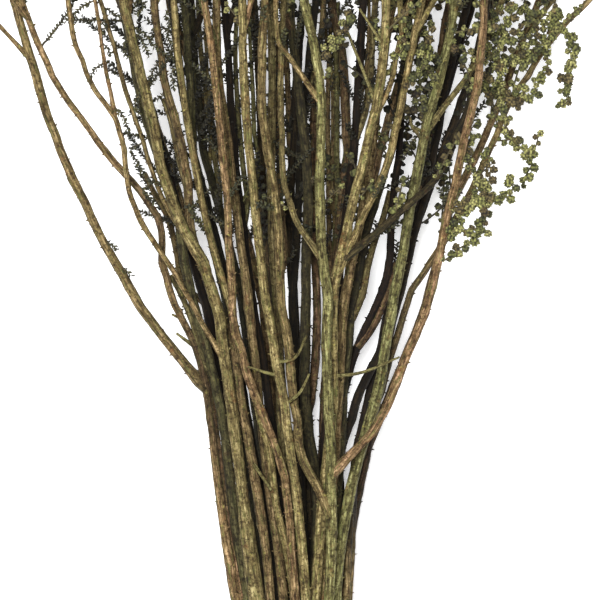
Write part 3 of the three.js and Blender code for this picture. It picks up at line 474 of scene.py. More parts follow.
# Leafy twigs that the photo shows one by one, in the same form
TRACED_LEAFY = [
    dict(stem=10, rise=-2, route=[[51.2, -23.4], [49.6, -26.8], [47.5, -30.2], [45.4, -34.4]]),
    dict(stem=2, rise=1, route=[[-84, 31.6], [-87.8, 29.9], [-90.3, 28.2], [-92.4, 25.7], [-93.2, 23.6]]),
    dict(stem=2, rise=1, route=[[-81, 29], [-78, 27.5], [-75.6, 26], [-72.7, 24.4]]),
    dict(stem=2, rise=1, route=[[-83, 21], [-79.4, 23], [-78.5, 20.2], [-80.2, 19]]),
    dict(stem=2, rise=-2, route=[[-67, 22], [-63, 17.3], [-58.8, 12.3], [-54, 8.5], [-50.4, 6.8]]),
    dict(stem=2, route=[[-68, 14], [-71.4, 15.2], [-71.8, 11], [-70, 7.6]]),
    dict(stem=2, route=[[-66, 18], [-64.3, 15.6], [-63, 11.4], [-61.3, 8.9]]),
    dict(stem=4, route=[[-52.5, 27], [-54.6, 25.7], [-52.1, 21.5], [-53.8, 17.3], [-51.7, 13.1]]),
    dict(stem=3, route=[[-59, 8], [-58.4, 4.3], [-60.5, 1.1], [-61.3, -3.1], [-62.2, -5.8]]),
    dict(stem=4, route=[[-50, 4], [-52.1, 1.3], [-51.2, -2.5], [-50.8, -4.6]]),
    dict(stem=2, rise=1, route=[[-62.6, -6], [-66.4, -9.2], [-67.2, -12.5], [-65.5, -16]]),
    dict(stem=2, rise=1, route=[[-76, -12], [-73.9, -14.6], [-71.4, -18.8], [-69.3, -24.7]]),
    dict(stem=2, route=[[-64, -28], [-69.3, -31], [-67.6, -34], [-65.9, -36.9], [-64, -40.2]]),
    dict(stem=2, route=[[-60, -44], [-64, -47.8], [-61.7, -50.8], [-59.6, -53]]),
    dict(stem=2, route=[[-61, 31], [-62.6, 29.5], [-64.3, 27.8], [-66.4, 26.1]]),
    dict(stem=2, route=[[-82, 6], [-83.6, 3], [-85.3, 0.5], [-86.1, -1.5]]),
    dict(stem=2, route=[[-80, 14], [-78.5, 11.5], [-77.5, 9]]),
    dict(stem=3, route=[[-56, -6], [-57.5, -9.2], [-59.6, -10]]),
    dict(stem=3, route=[[-57, 22], [-60, 18], [-61, 14]]),
    dict(stem=1, rise=2, route=[[-79, -70], [-77, -70.5], [-75.5, -72.5]]),
    dict(stem=1, rise=2, route=[[-73.5, -81], [-71, -81.5], [-69.5, -83.5]]),
]

# Thin shoots between the stems, in the same form, with the radius at the foot
SHOOTS = [
    dict(stem=27, radius=1.3, route=[[-18.6, -232], [-21.8, -222], [-23, -213.7], [-24.8, -203.2],
        [-27, -190.6], [-29.7, -173.8], [-31.9, -157], [-33.6, -144.4], [-35, -134], [-37, -122]]),
    dict(stem=27, radius=1.6, route=[[-33.4, -129.7], [-38.2, -119.2], [-41.6, -108.7], [-44.9, -99],
        [-49.1, -89.8], [-52.5, -83.5]]),
    dict(stem=20, radius=2, route=[[26.2, -114], [32.3, -105.8], [35.7, -99], [38.2, -91.9], [40.3, -84.8],
        [41.6, -78]]),
    dict(stem=14, radius=1.4, route=[[-30.7, -58.3], [-32.3, -45.7], [-34.4, -31], [-36.5, -16.3],
        [-38.2, -1.6], [-39.9, 11], [-40.7, 23.6], [-41.2, 40.4]]),
    dict(stem=14, radius=1, route=[[-33.6, -39.4], [-35.7, -26.8], [-35.7, -14.2], [-37, -1.6],
        [-37.4, 8.9], [-38.2, 19.4]]),
    dict(stem=15, radius=1.3, route=[[-19.3, -64.6], [-20.2, -54.1], [-21.8, -39.4], [-23.1, -26.8],
        [-24.4, -10], [-25.2, 6.8], [-24.8, 23.6], [-23.9, 40.4]]),
    dict(stem=15, radius=1.1, route=[[-13.9, -54.1], [-16, -41.5], [-17.2, -22.6], [-17.6, -10],
        [-18.5, 6.8], [-19.3, 22.8], [-19.3, 38.3]]),
    dict(stem=30, radius=1.2, route=[[-7.6, -89.8], [-4.2, -77.2], [-5, -60.4], [-6.7, -43.6],
        [-7.1, -26.8], [-7.6, -1.6], [-7.1, 15.2]]),
    dict(stem=31, radius=1.5, route=[[0.4, -47.8], [-1.7, -37.3], [-2.5, -26.8], [-2.9, -10], [-3.8, 8.9],
        [-4.6, 23.6], [-4.6, 36.2]]),
    dict(stem=17, radius=2, route=[[3.4, -157], [6.7, -136], [8.8, -115], [9.2, -94], [8.4, -77.2],
        [8, -60.4], [8, -39.4], [7.6, -22.6], [7.6, -10], [6.3, 6.8]]),
    dict(stem=18, radius=1.3, route=[[16.4, -89.8], [14.7, -78], [14.3, -60.4], [14.3, -43.6],
        [13.9, -26.8], [13.9, -10], [14.3, 6.8], [15.1, 23.6]]),
    dict(stem=18, radius=1.5, route=[[17.2, -81.4], [17.2, -66.7], [18.1, -52], [17.6, -35.2],
        [17.6, -18.4], [17.6, -1.6], [17.2, 13.1], [18.1, 32]]),
    dict(stem=18, radius=1.1, route=[[16.4, -68.8], [16, -52], [16, -31], [16, -14.2], [15.5, 2.6],
        [13.4, 15.2], [12.6, 27.8], [12.2, 40.4]]),
    dict(stem=17, radius=1.6, route=[[6.3, -5.8], [8.8, 6.8], [10.9, 17.3], [11.8, 27.8], [12.2, 40.4]]),
    dict(stem=19, radius=1.8, route=[[26.5, -26.8], [29.4, -14.2], [31.5, -1.6], [32.3, 11], [33.2, 23.6],
        [34.4, 38.3]]),
    dict(stem=19, radius=1, route=[[27.3, -16.3], [29.8, 2.6], [31.1, 17.3], [31.1, 32], [30.7, 42.5]]),
    dict(stem=33, radius=1.7, route=[[25.6, -102.4], [28.1, -91.9], [30.7, -79.3], [33.6, -68.8],
        [37.4, -58.3], [39.9, -47.8]]),
    dict(stem=24, radius=1.6, route=[[-44.1, -98.2], [-47.9, -85.6], [-50.4, -73], [-53.3, -61.2],
        [-56.7, -53.3], [-60.1, -47.8], [-63.8, -40.2]]),
    dict(stem=3, radius=1.2, route=[[-45.8, -49.9], [-47.9, -39.4], [-50.8, -26.8], [-53.3, -16.3],
        [-55.9, -9.2]]),
    dict(stem=10, radius=1, route=[[54.2, -27.6], [51.7, -24.3], [49.1, -20.9], [48.3, -17.1]]),
]


def seeded_draws(seed):
    """A number from 0 to 1 each time it is called, the same row of numbers for the same seed."""
    state = seed

    def draw():
        nonlocal state
        state = state * 48271 % 2147483647
        return state / 2147483647

    return draw


def along(points, y):
    """The value at y on a broken line of [y, value] points."""
    return np.interp(y, [p[0] for p in points], [p[1] for p in points])


def smooth(t):
    s = np.clip(t, 0, 1)
    return s * s * (3 - 2 * s)


def unit(vectors):
    return vectors / np.maximum(1e-9, np.linalg.norm(vectors, axis=-1, keepdims=True))


def station_y(k):
    return CUT_END_Y + STATION_STEP * k


def nearest_station(y):
    return math.floor((y - CUT_END_Y) / STATION_STEP + 0.5)


STATION_YS = station_y(np.arange(STATION_COUNT))
TIE_FROM = nearest_station(TIE_Y - 2 * TIE_HALF_LENGTH)
TIE_TO = nearest_station(TIE_Y + 2 * TIE_HALF_LENGTH)


def level_height(level, x, y):
    """Height of a level above the surface."""
    side = min(1, abs(x) / along(WIDTH_ALONG, y))
    rounding = TOP_ROUNDING if level > 0 else UNDERSIDE_ROUNDING
    reach = along(THICKNESS_ALONG, y) * math.sqrt(1 - rounding * side * side)
    return along(MIDDLE_ALONG, y) + level * reach


def stations_to_keep(first, tip_from, last):
    """The stations that bend a strand: its ends, the start of its tip, and a shared row between."""
    kept = [first, TIE_FROM] if first < TIE_FROM else [first]
    k = TIE_TO
    while k < tip_from - 1:
        if k > first + 1:
            kept.append(k)
        k += KEPT_STRIDE if station_y(k) < CROWN_FROM_Y else CROWN_STRIDE
    return np.array([*kept, tip_from, last])


class Strand:
    """A stem or a branch as places and radii at its stations, with where it wants to lie."""

    def __init__(self, spec, node, parent, first, draw):
        by_y = [[y, x] for x, y in spec["route"]]
        wave = 110 + 60 * draw()
        phase = 2 * math.pi * draw()
        self.spec, self.node, self.parent, self.first = spec, node, parent, first
        self.last = nearest_station(by_y[-1][0])
        self.tip_from = max(first + 1, self.last - round(BOBBLY_TIP_LENGTH / STATION_STEP))
        self.kept = stations_to_keep(first, self.tip_from, self.last)
        self.x, self.z, self.want_x, self.want_z, self.radius, self.room = np.zeros((6, STATION_COUNT))
        for k in range(first, self.last + 1):
            y = station_y(k)
            t = (k - first) / (self.last - first)
            wander = along(WANDER_ALONG, y) * smooth((k - first) / WANDER_STATIONS)
            x = along(by_y, y) + wander * math.sin(2 * math.pi * y / wave + phase)
            z = level_height(spec["level"], x, y) + wander * math.cos(2.4 * math.pi * y / wave + phase)
            if parent:
                start = parent.want_z[min(k, parent.last)]
                z = start + (z - start) * smooth((k - first) / FORK_RISE_STATIONS)
            foot = spec.get("foot", 0) * (1 - smooth((y - NECK_TOP_Y) / NECK_BLEND))
            self.want_x[k] = x
            self.want_z[k] = z
            self.radius[k] = TIP_RADIUS + (spec["radius"] - TIP_RADIUS) * (1 - t ** 2.2) + foot
            self.room[k] = BOBBLE_REACH if k >= self.tip_from else self.radius[k]
        self.hats = self.hat_weights()

    def hat_weights(self):
        """How much each station counts for each kept station, from 1 there to 0 at the next ones."""
        hats = np.zeros((len(self.kept), STATION_COUNT))
        for i, k in enumerate(self.kept):
            before = self.kept[i - 1] if i else k - 1
            after = self.kept[i + 1] if i + 1 < len(self.kept) else k + 1
            for j in range(before + 1, after):
                hats[i, j] = (j - before) / (k - before) if j < k else (after - j) / (after - k)
        return hats

    def straighten(self):
        rows = np.arange(self.first, self.last + 1)
        for values in (self.x, self.z):
            values[rows] = np.interp(rows, self.kept, values[self.kept])

    def pushed(self, pushes):
        """What the pushes along the strand ask of its kept stations."""
        weights = self.hats @ (pushes != 0)
        return self.hats @ pushes / np.maximum(1, weights)

    def eased(self, values, wanted, ease):
        """How far kept stations move to where they want to lie, and aside like their neighbours."""
        kept = self.kept
        aside = values[kept] - wanted[kept]
        share = (kept[1:-1] - kept[:-2]) / (kept[2:] - kept[:-2])
        between = aside[:-2] + (aside[2:] - aside[:-2]) * share
        move = -ease * aside
        move[1:-1] += STRAIGHTENING * (between - aside[1:-1])
        return move

    def hold_ends(self):
        """A branch starts inside what it grows from, and a stem runs straight through the tie."""
        if self.parent:
            self.x[self.first] = self.parent.x[self.first]
            self.z[self.first] = self.parent.z[self.first]
            return
        for values in (self.x, self.z):
            values[[TIE_FROM, TIE_TO]] = (values[TIE_FROM] + values[TIE_TO]) / 2

    def point(self, k):
        return np.array([self.x[k], station_y(k), self.z[k]])


def draw_in_neck(strand):
    """Below the fan the stems close up to the round neck, where they stay straight through the tie."""
    scale_x = NECK_RADIUS / along(WIDTH_ALONG, NECK_TOP_Y)
    scale_z = NECK_RADIUS / along(THICKNESS_ALONG, NECK_TOP_Y)
    top = nearest_station(NECK_TOP_Y)
    x = strand.want_x[top]
    z = strand.want_z[top]
    for k in range(strand.first, top):
        y = station_y(k)
        towards_tie = smooth((NECK_TOP_Y - y) / (NECK_TOP_Y - TIE_Y - TIE_HALF_LENGTH))
        splay = 1 + 0.25 * smooth((TIE_Y - TIE_HALF_LENGTH - y) / 30) if y < TIE_Y else 1
        narrow_x = x * scale_x * splay
        narrow_z = along(MIDDLE_ALONG, TIE_Y) + (z - along(MIDDLE_ALONG, NECK_TOP_Y)) * scale_z * splay
        strand.want_x[k] = x + (narrow_x - x) * towards_tie
        strand.want_z[k] = z + (narrow_z - z) * towards_tie


def crown_branches(strand, draw):
    """Side branches that fill the crown above what the routes give, left and right in turn."""
    specs = []
    side = -1 if draw() < 0.5 else 1
    y = max(LEAFY_FROM_Y, station_y(strand.first) + CROWN_BRANCH_FROM) + 50 * draw()
    while y < station_y(strand.last) - CROWN_BRANCH_STOP:
        reach = side * (22 + 16 * draw())
        length = min(90 + 40 * draw(), station_y(STATION_COUNT - 2) - y)
        step = -CROWN_LEVEL_STEP if draw() < 0.5 else CROWN_LEVEL_STEP
        route = [[strand.want_x[nearest_station(y)], y]]
        for share in (0.25, 0.5, 1):
            stem_x = strand.want_x[min(strand.last, nearest_station(y + length * share))]
            x = stem_x + reach * math.sin(1.5 * share)
            route.append([min(CROWN_SIDE_X, max(-CROWN_SIDE_X, x)), y + length * share])
        level = min(1, max(-1, strand.spec["level"] + step))
        specs.append(dict(radius=CROWN_BRANCH_RADIUS, level=level, route=route, crown=True))
        side = -side
        y += CROWN_BRANCH_SPACING * (0.8 + 0.4 * draw())
    return specs


def lay_out_strands():
    """Every stem and branch as a strand, each after what it grows from."""
    draw = seeded_draws(7)
    strands = []

    def add_branches(parent):
        bare = parent.spec.get("crown") or parent.spec["radius"] < THINNEST_WITH_CROWN
        crown = [] if bare else crown_branches(parent, draw)
        for spec in [*parent.spec.get("branches", []), *crown]:
            branch = Strand(spec, parent.node, parent, nearest_station(spec["route"][0][1]), draw)
            strands.append(branch)
            add_branches(branch)

    for node, spec in enumerate(STEMS):
        cut_short = CUT_LENGTH_SPREAD * draw() if node % 5 else 0
        stem = Strand(spec, node, None, nearest_station(CUT_END_Y + cut_short), draw)
        draw_in_neck(stem)
        strands.append(stem)
        add_branches(stem)
    return strands


def distances_to_keep(strands):
    """For each station and pair of strands, the distance that the two keep there, or 0."""
    rows = np.arange(STATION_COUNT)
    first, last, node = np.array([(s.first, s.last, s.node) for s in strands]).T
    room = np.array([s.room for s in strands]).T
    slope = np.where(STATION_YS < NECK_TOP_Y, NECK_SLOPE_ALLOWANCE, SLOPE_ALLOWANCE)
    need = (room[:, :, None] + room[:, None, :]) * slope[:, None, None]
    need += along(GAP_ALONG, STATION_YS)[:, None, None]
    start = np.maximum(first[:, None], first[None, :])
    opened = np.minimum(1, (rows[:, None, None] - start) / FORK_STATIONS)
    need = np.where(node[:, None] == node[None, :], need * opened, need)
    there = (rows[:, None] >= first) & (rows[:, None] <= last)
    both = there[:, :, None] & there[:, None, :] & ~np.eye(len(strands), dtype=bool)
    return np.where(both, need, 0)


def pushes_apart(strands, need):
    """How far each strand is pushed at each station by all that come too near it."""
    x = np.array([s.x for s in strands]).T
    z = np.array([s.z for s in strands]).T
    dx = x[:, None, :] - x[:, :, None]
    dz = z[:, None, :] - z[:, :, None]
    distance = np.sqrt(dx * dx + dz * dz) + 1e-6
    move = np.where(distance < need, PUSH_SHARE * (need - distance) / distance, 0)
    return -(move * dx).sum(axis=2).T, -(move * dz).sum(axis=2).T


def settle(strands):
    """Moves every strand until none crosses another, none is kinked and none is below the surface."""
    need = distances_to_keep(strands)
    on_tie = TIE_THICKNESS * (1 - smooth((STATION_YS - NECK_TOP_Y) / NECK_BLEND))
    ease_height = np.where(STATION_YS < NECK_TOP_Y, SIDE_EASE, HEIGHT_EASE)
    for strand in strands:
        strand.x[:] = strand.want_x
        strand.z[:] = strand.want_z
        strand.straighten()
    for step in range(SETTLE_ROUNDS):
        push_x, push_z = pushes_apart(strands, need)
        for strand, by_x, by_z in zip(strands, push_x, push_z):
            kept = strand.kept
            move_x = strand.pushed(by_x)
            move_z = strand.pushed(by_z)
            if step < SETTLE_ROUNDS - CLEARING_ROUNDS:
                move_x += strand.eased(strand.x, strand.want_x, SIDE_EASE)
                move_z += strand.eased(strand.z, strand.want_z, ease_height[kept])
            strand.x[kept] += move_x
            floor = on_tie[kept] + PRESSED_LOW * strand.room[kept]
            strand.z[kept] = np.maximum(strand.z[kept] + move_z, floor)
            strand.hold_ends()
            strand.straighten()


strands = lay_out_strands()
settle(strands)


class Placed:
    """What is already placed, as short capsules, so that later twigs keep clear of other stems."""

    def __init__(self):
        self.starts, self.ends, self.radii, self.owners = [], [], [], []
        self.index = {strand: i for i, strand in enumerate(strands)}
        self.kin = np.eye(len(strands), dtype=bool)
        for strand in strands:
            if strand.parent:
                pair = self.index[strand], self.index[strand.parent]
                self.kin[pair] = self.kin[pair[::-1]] = True
            rows = range(strand.first, strand.last + 1)
            self.add([strand.point(k) for k in rows], strand.room[strand.first:], strand)

    def add(self, points, radii, strand):
        for i in range(1, len(points)):
            self.starts.append(points[i - 1])
            self.ends.append(points[i])
            self.radii.append(max(radii[i - 1], radii[i]))
            self.owners.append(self.index[strand])

    def is_clear(self, points, radius, strand):
        """Whether a twig of a strand keeps clear of everything but that strand and its nearest kin."""
        starts, ends = np.array(self.starts), np.array(self.ends)
        need = radius + np.array(self.radii) + TWIG_CLEARANCE
        other = ~self.kin[self.index[strand]][np.array(self.owners)]
        for p, q in zip(points[:-1], points[1:]):
            near = other & (np.abs(q[1] - starts[:, 1]) <= need + TWIG_LENGTH)
            if np.any(piece_distances(p, q, starts[near], ends[near]) < need[near]):
                return False
        return True


def piece_distances(p, q, starts, ends):
    """Shortest distances from the straight piece p-q to the pieces starts-ends."""
    u = q - p
    v = ends - starts
    w = p - starts
    a, b, c = u @ u, v @ u, (v * v).sum(axis=1)
    d, e = w @ u, (v * w).sum(axis=1)
    spread = a * c - b * b
    s = np.where(spread > 1e-9, np.clip((b * e - c * d) / np.maximum(spread, 1e-9), 0, 1), 0)
    t = np.clip((b * s + e) / c, 0, 1)
    s = np.clip((b * t - d) / a, 0, 1)
    return np.linalg.norm(w + s[:, None] * u - t[:, None] * v, axis=1)


def routed_twig(strand, route, radius, placed):
    """A twig with a route seen from above; it rises or sinks until it is clear of other stems."""
    start = strand.point(min(strand.last, max(strand.first, nearest_station(route[0][1]))))
    for lift in TWIG_LIFTS:
        points = [start]
        for i, (x, y) in enumerate(route[1:], 1):
            z = start[2] + lift * smooth(1.6 * i / (len(route) - 1))
            points.append(np.array([x, y, max(radius, z)]))
        if placed.is_clear(points, radius, strand):
            return points
    return None


def is_inside(p):
    return p[2] > TWIG_LOW_Z and p[1] < TIP_LIMIT_Y and abs(p[0]) < SIDE_LIMIT_X


def directions(start, ahead):
    """Along a strand at a place, and two directions across it."""
    forward = unit(ahead - start)
    across = unit(np.cross([0, 0, 1], forward))
    return forward, across, np.cross(forward, across)


def free_twig(strand, k, draw, placed):
    """A twig that leaves its strand at a drawn angle round it, tried at several angles."""
    start = strand.point(k)
    forward, across, up = directions(start, strand.point(k + 1))
    first_angle = 2 * math.pi * draw()
    lean = 0.75 + 0.5 * draw()
    length = TWIG_LENGTH * (0.75 + 0.5 * draw())
    bend = 0.5 * (draw() - 0.35)
    for attempt in range(TWIG_ATTEMPTS):
        angle = first_angle + ATTEMPT_TURN * attempt
        out = across * math.cos(angle) + up * math.sin(angle)
        points = []
        for share in (0, 0.35, 0.7, 1):
            ahead = length * share * math.cos(lean) + length * bend * share * share
            points.append(start + forward * ahead + out * length * share * math.sin(lean))
        if all(is_inside(p) for p in points[1:]) and placed.is_clear(points, BOBBLE_REACH, strand):
            return points
    return None


def place_main_twigs():
    """The snags and the main twigs, as (strand, points) rows, where the part has them."""
    placed = Placed()
    twigs = {"snags": [], "sprays": [], "main": []}

    def keep(kind, strand, points, reach):
        if points:
            placed.add(points, [reach] * len(points), strand)
            twigs[kind].append((strand, points))

    for strand in strands:
        for kind, reach in (("snags", SNAG_RADIUS), ("sprays", BOBBLE_REACH)):
            for route in strand.spec.get(kind, []):
                keep(kind, strand, routed_twig(strand, route, reach, placed), reach)
    draw = seeded_draws(41)
    for strand in strands:
        first = max(strand.first + 3, nearest_station(strand.spec.get("leafy_from", LEAFY_FROM_Y)))
        y = station_y(first) + 0.5 * TWIG_SPACING * draw()
        while y < station_y(strand.last) - BOBBLY_TIP_LENGTH:
            keep("main", strand, free_twig(strand, nearest_station(y), draw, placed), BOBBLE_REACH)
            y += TWIG_SPACING * (0.7 + 0.6 * draw())
    return twigs["snags"], twigs["main"]


snags, main_twigs = place_main_twigs()


class Surface:
    """Corners, triangles, shades, tints and grain of a piece that is being built, in millimetres."""

    def __init__(self):
        self.points, self.triangles, self.shades, self.tints, self.grains = [], [], [], [], []
        self.count = 0
        self.tint = 0.5

    def add(self, points, triangles, shade, grain):
        self.points.append(points)
        self.triangles.append(np.asarray(triangles) + self.count)
        self.shades.append(np.broadcast_to(shade, len(points)))
        self.tints.append(np.full(len(points), self.tint))
        self.grains.append(np.broadcast_to(grain, (len(points), 3)))
        self.count += len(points)

    def piece(self, name, material, slot, *nodes):
        """The finished object, which rides the part and takes a material; the slot is not used."""
        points = np.concatenate(self.points) * MM
        triangles = np.concatenate(self.triangles)
        mesh = bpy.data.meshes.new(name)
        mesh.vertices.add(len(points))
        mesh.vertices.foreach_set("co", points.ravel().astype(np.float32))
        mesh.loops.add(triangles.size)
        mesh.loops.foreach_set("vertex_index", triangles.ravel().astype(np.int32))
        mesh.polygons.add(len(triangles))
        mesh.polygons.foreach_set("loop_start", np.arange(0, triangles.size, 3, dtype=np.int32))
        for title, kind, field, values in (("shade", "FLOAT", "value", self.shades),
                                           ("tint", "FLOAT", "value", self.tints),
                                           ("grain", "FLOAT_VECTOR", "vector", self.grains)):
            attribute = mesh.attributes.new(title, kind, "POINT")
            attribute.data.foreach_set(field, np.concatenate(values).ravel().astype(np.float32))
        mesh.update(calc_edges=True)
        mesh.validate()
        mesh.shade_smooth()
        mesh.materials.append(material)
        piece = in_scene(name, mesh)
        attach(piece, "root")
        if nodes:
            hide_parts(*nodes)


def in_scene(name, data):
    """A new object of a mesh, a light or a camera."""
    thing = bpy.data.objects.new(name, data)
    bpy.context.scene.collection.objects.link(thing)
    return thing


def headings(line):
    return unit(np.gradient(line, axis=0))


def lengths_along(line):
    """How far along a line each of its points lies."""
    return np.concatenate([[0], np.cumsum(np.linalg.norm(np.diff(line, axis=0), axis=1))])


def places_on(line, marks, at):
    """Places on a line at some values of its points' marks."""
    return np.stack([np.interp(at, marks, line[:, c]) for c in range(3)], -1)


def frames(line):
    """Two directions across a line at each of its points, turning as little as the line allows."""
    tangents = headings(line)
    side = np.array([0, 0, 1.0]) if abs(tangents[0][0]) > 0.9 else np.array([1.0, 0, 0])
    across = np.empty_like(line)
    for i, tangent in enumerate(tangents):
        side = unit(side - tangent * (side @ tangent))
        across[i] = side
    return across, np.cross(tangents, across)


def turned(across, up, angles):
    """Directions at angles round a line, one for each pair of directions across it."""
    return across * np.cos(angles)[..., None] + up * np.sin(angles)[..., None]


def tube(surface, line, radii, sides, shade, grain_step, grain_from):
    """A closed tube along a line. The radii are one per point, or one per point and side."""
    line = np.asarray(line, dtype=float)
    rows = len(line)
    radii = np.asarray(radii, dtype=float)
    radii = np.broadcast_to(radii[:, None] if radii.ndim == 1 else radii, (rows, sides))
    angles = 2 * np.pi * np.arange(sides) / sides
    across, up = frames(line)
    points = line[:, None] + turned(across[:, None], up[:, None], angles) * radii[..., None]
    points[..., 2] = np.maximum(points[..., 2], 0)
    grain = np.empty((rows, sides, 3))
    grain[..., 0] = np.cos(angles) + grain_from
    grain[..., 1] = np.sin(angles)
    grain[..., 2] = lengths_along(line)[:, None] * grain_step
    ring = np.arange(sides)
    start = np.arange(rows - 1)[:, None] * sides
    a, b = (start + ring).ravel(), (start + (ring + 1) % sides).ravel()
    last = (rows - 1) * sides
    fan = ring[1:-1]
    triangles = [np.stack([a, b, b + sides], 1), np.stack([a, b + sides, a + sides], 1),
                 np.stack([last + 0 * fan, last + fan, last + fan + 1], 1),
                 np.stack([0 * fan, fan + 1, fan], 1)]
    surface.add(points.reshape(-1, 3), np.concatenate(triangles),
                np.repeat(np.broadcast_to(shade, rows), sides), grain.reshape(-1, 3))


def hermite(knots, values, at):
    """Values at places on a smooth curve that passes through the knots."""
    values = np.asarray(values, dtype=float)
    flat = values.ndim == 1
    values = values[:, None] if flat else values
    slopes = np.gradient(values, knots, axis=0)
    i = np.clip(np.searchsorted(knots, at, side="right") - 1, 0, len(knots) - 2)
    h = (knots[i + 1] - knots[i])[:, None]
    t = (at[:, None] - knots[i][:, None]) / h
    result = (values[i] * (1 + 2 * t) * (1 - t) ** 2 + slopes[i] * h * t * (1 - t) ** 2
              + values[i + 1] * t * t * (3 - 2 * t) - slopes[i + 1] * h * t * t * (1 - t))
    return result[:, 0] if flat else result


def curve_through(points, spacing):
    """Places at an even spacing on a smooth curve through points."""
    points = np.asarray(points, dtype=float)
    knots = lengths_along(points)
    count = max(3, int(round(knots[-1] / spacing)) + 1)
    return hermite(knots, points, np.linspace(0, knots[-1], count))


def painted_shade_at(x, y, z):
    """Painted shade of what lies at a place, which darkens its colour: 1 on the outside of the bunch, down to
    0 well inside it.
    """
    up = (z - along(MIDDLE_ALONG, y)) / along(THICKNESS_ALONG, y)
    side = np.abs(x) / along(WIDTH_ALONG, y)
    outside = np.maximum(smooth((up + 0.05) / 0.6), 0.55 * smooth((-0.45 - up) / 0.5))
    return np.clip(np.maximum(outside, smooth((side - 0.62) / 0.25)), 0, 1)


def draw_middle(strand, rng):
    """Gives a strand its smooth middle line, through its kept stations, with its kinks and wobbles."""
    first, last = station_y(strand.first), station_y(strand.last)
    parts = [np.arange(first, min(last, MIDDLE_FROM_Y), FAR_RING_SPACING),
             np.arange(max(first, MIDDLE_FROM_Y), min(last, MIDDLE_TO_Y), RING_SPACING),
             np.arange(max(first, MIDDLE_TO_Y), last, FAR_RING_SPACING), [last]]
    ys = np.unique(np.concatenate([p for p in parts if len(p)]))
    kept_y = STATION_YS[strand.kept]
    rows = slice(strand.first, strand.last + 1)
    wanted = np.interp(ys, STATION_YS[rows], strand.want_x[rows])
    straight = np.interp(ys, kept_y, strand.want_x[strand.kept])
    kinks = np.clip(wanted - straight, -KINK_LIMIT, KINK_LIMIT)
    fade = smooth((ys - NECK_TOP_Y) / NECK_BLEND) * smooth((last - ys) / NECK_BLEND)
    wobbles = WOBBLE * np.sin(ys[:, None] / WOBBLE_LENGTH + rng.uniform(0, 2 * np.pi, 2))
    wobbles += 0.6 * WOBBLE * np.sin(ys[:, None] / (0.41 * WOBBLE_LENGTH) + rng.uniform(0, 2 * np.pi, 2))
    if strand.parent:
        from_root = smooth((ys - first) / ROOT_BLEND)
        fade = fade * from_root
    x = hermite(kept_y, strand.x[strand.kept], ys) + (kinks + wobbles[:, 0]) * fade
    z = hermite(kept_y, strand.z[strand.kept], ys) + wobbles[:, 1] * fade
    if strand.parent:
        root = on_line(strand.parent, first)
        x += (root[0] - x[0]) * (1 - from_root)
        z += (root[2] - z[0]) * (1 - from_root)
    strand.line = np.stack([x, ys, z], 1)
    strand.line_radii = np.interp(ys, STATION_YS[rows], strand.radius[rows])


def on_line(strand, y):
    """The place on a strand's middle line at y."""
    return places_on(strand.line, strand.line[:, 1], y)


def bark_relief(radii, ys, sides, rng):
    """Radii round a stem with its flutes, slow swellings, knots and the scars of lost twigs."""
    angles = 2 * np.pi * np.arange(sides) / sides
    phase = rng.uniform(0, 2 * np.pi, 4)
    flutes = (np.sin(3 * angles[None] + phase[0] + 0.012 * ys[:, None])
              + 0.7 * np.sin(5 * angles[None] + phase[1] - 0.02 * ys[:, None]))
    swell = 0.03 * np.sin(ys / 7 + phase[2]) + 0.03 * np.sin(ys / 17 + phase[3])
    rough = rng.normal(0, ROUGHNESS, (len(ys), sides))
    relief = radii[:, None] * (1 + FLUTE_DEPTH * flutes + swell[:, None] + rough)
    y = ys[0] + KNOT_SPACING * rng.random()
    while y < min(ys[-1], KNOTS_TO_Y):
        height = min(0.26, 0.13 * radii[0]) * rng.uniform(0.4, 1.3)
        if rng.random() < 0.2:
            height *= 2
        turn = (angles - rng.uniform(0, 2 * np.pi) + np.pi) % (2 * np.pi) - np.pi
        size = rng.uniform(0.9, 1.9)
        near = np.abs(ys - y) < 3 * size
        relief[near] += height * np.exp(-((ys[near, None] - y) / size) ** 2 - (turn[None] / 0.5) ** 2)
        y += KNOT_SPACING * rng.uniform(0.4, 1.6)
    return relief


def add_thorns(surface, line, relief, shade, rng):
    """Stubs of lost leaves and buds: small hooked points that stand on the bark."""
    ys = line[:, 1]
    across, up = frames(line)
    tangents = headings(line)
    sides = relief.shape[1]
    y = ys[0] + THORN_SPACING * rng.random()
    while y < min(ys[-1], THORNS_TO_Y):
        if y > THORNS_FROM_Y:
            row = int(np.searchsorted(ys, y))
            angle = rng.uniform(0, 2 * np.pi)
            radius = relief[row, int(round(angle / (2 * np.pi) * sides)) % sides]
            out, ahead = turned(across[row], up[row], angle), tangents[row]
            around = np.cross(out, ahead)
            size = THORN_LENGTH * rng.uniform(0.5, 1.3)
            foot = line[row] + out * radius * 0.8
            tip = line[row] + out * (radius + size) + ahead * size * rng.uniform(0.2, 1.1)
            wide = THORN_HALF_WIDTH * rng.uniform(0.8, 1.5)
            points = np.array([foot + around * wide, foot - around * wide, tip,
                               foot - ahead * wide, foot + ahead * wide * 1.6])
            points[:, 2] = np.maximum(points[:, 2], LOW_LIMIT)
            triangles = [[0, 2, 3], [3, 2, 1], [1, 2, 4], [4, 2, 0], [0, 3, 1], [0, 1, 4]]
            surface.add(points, triangles, shade[row] * rng.uniform(0.5, 1), [0.4, 0.2, y * BARK_GRAIN])
        y += THORN_SPACING * rng.uniform(0.4, 1.6)


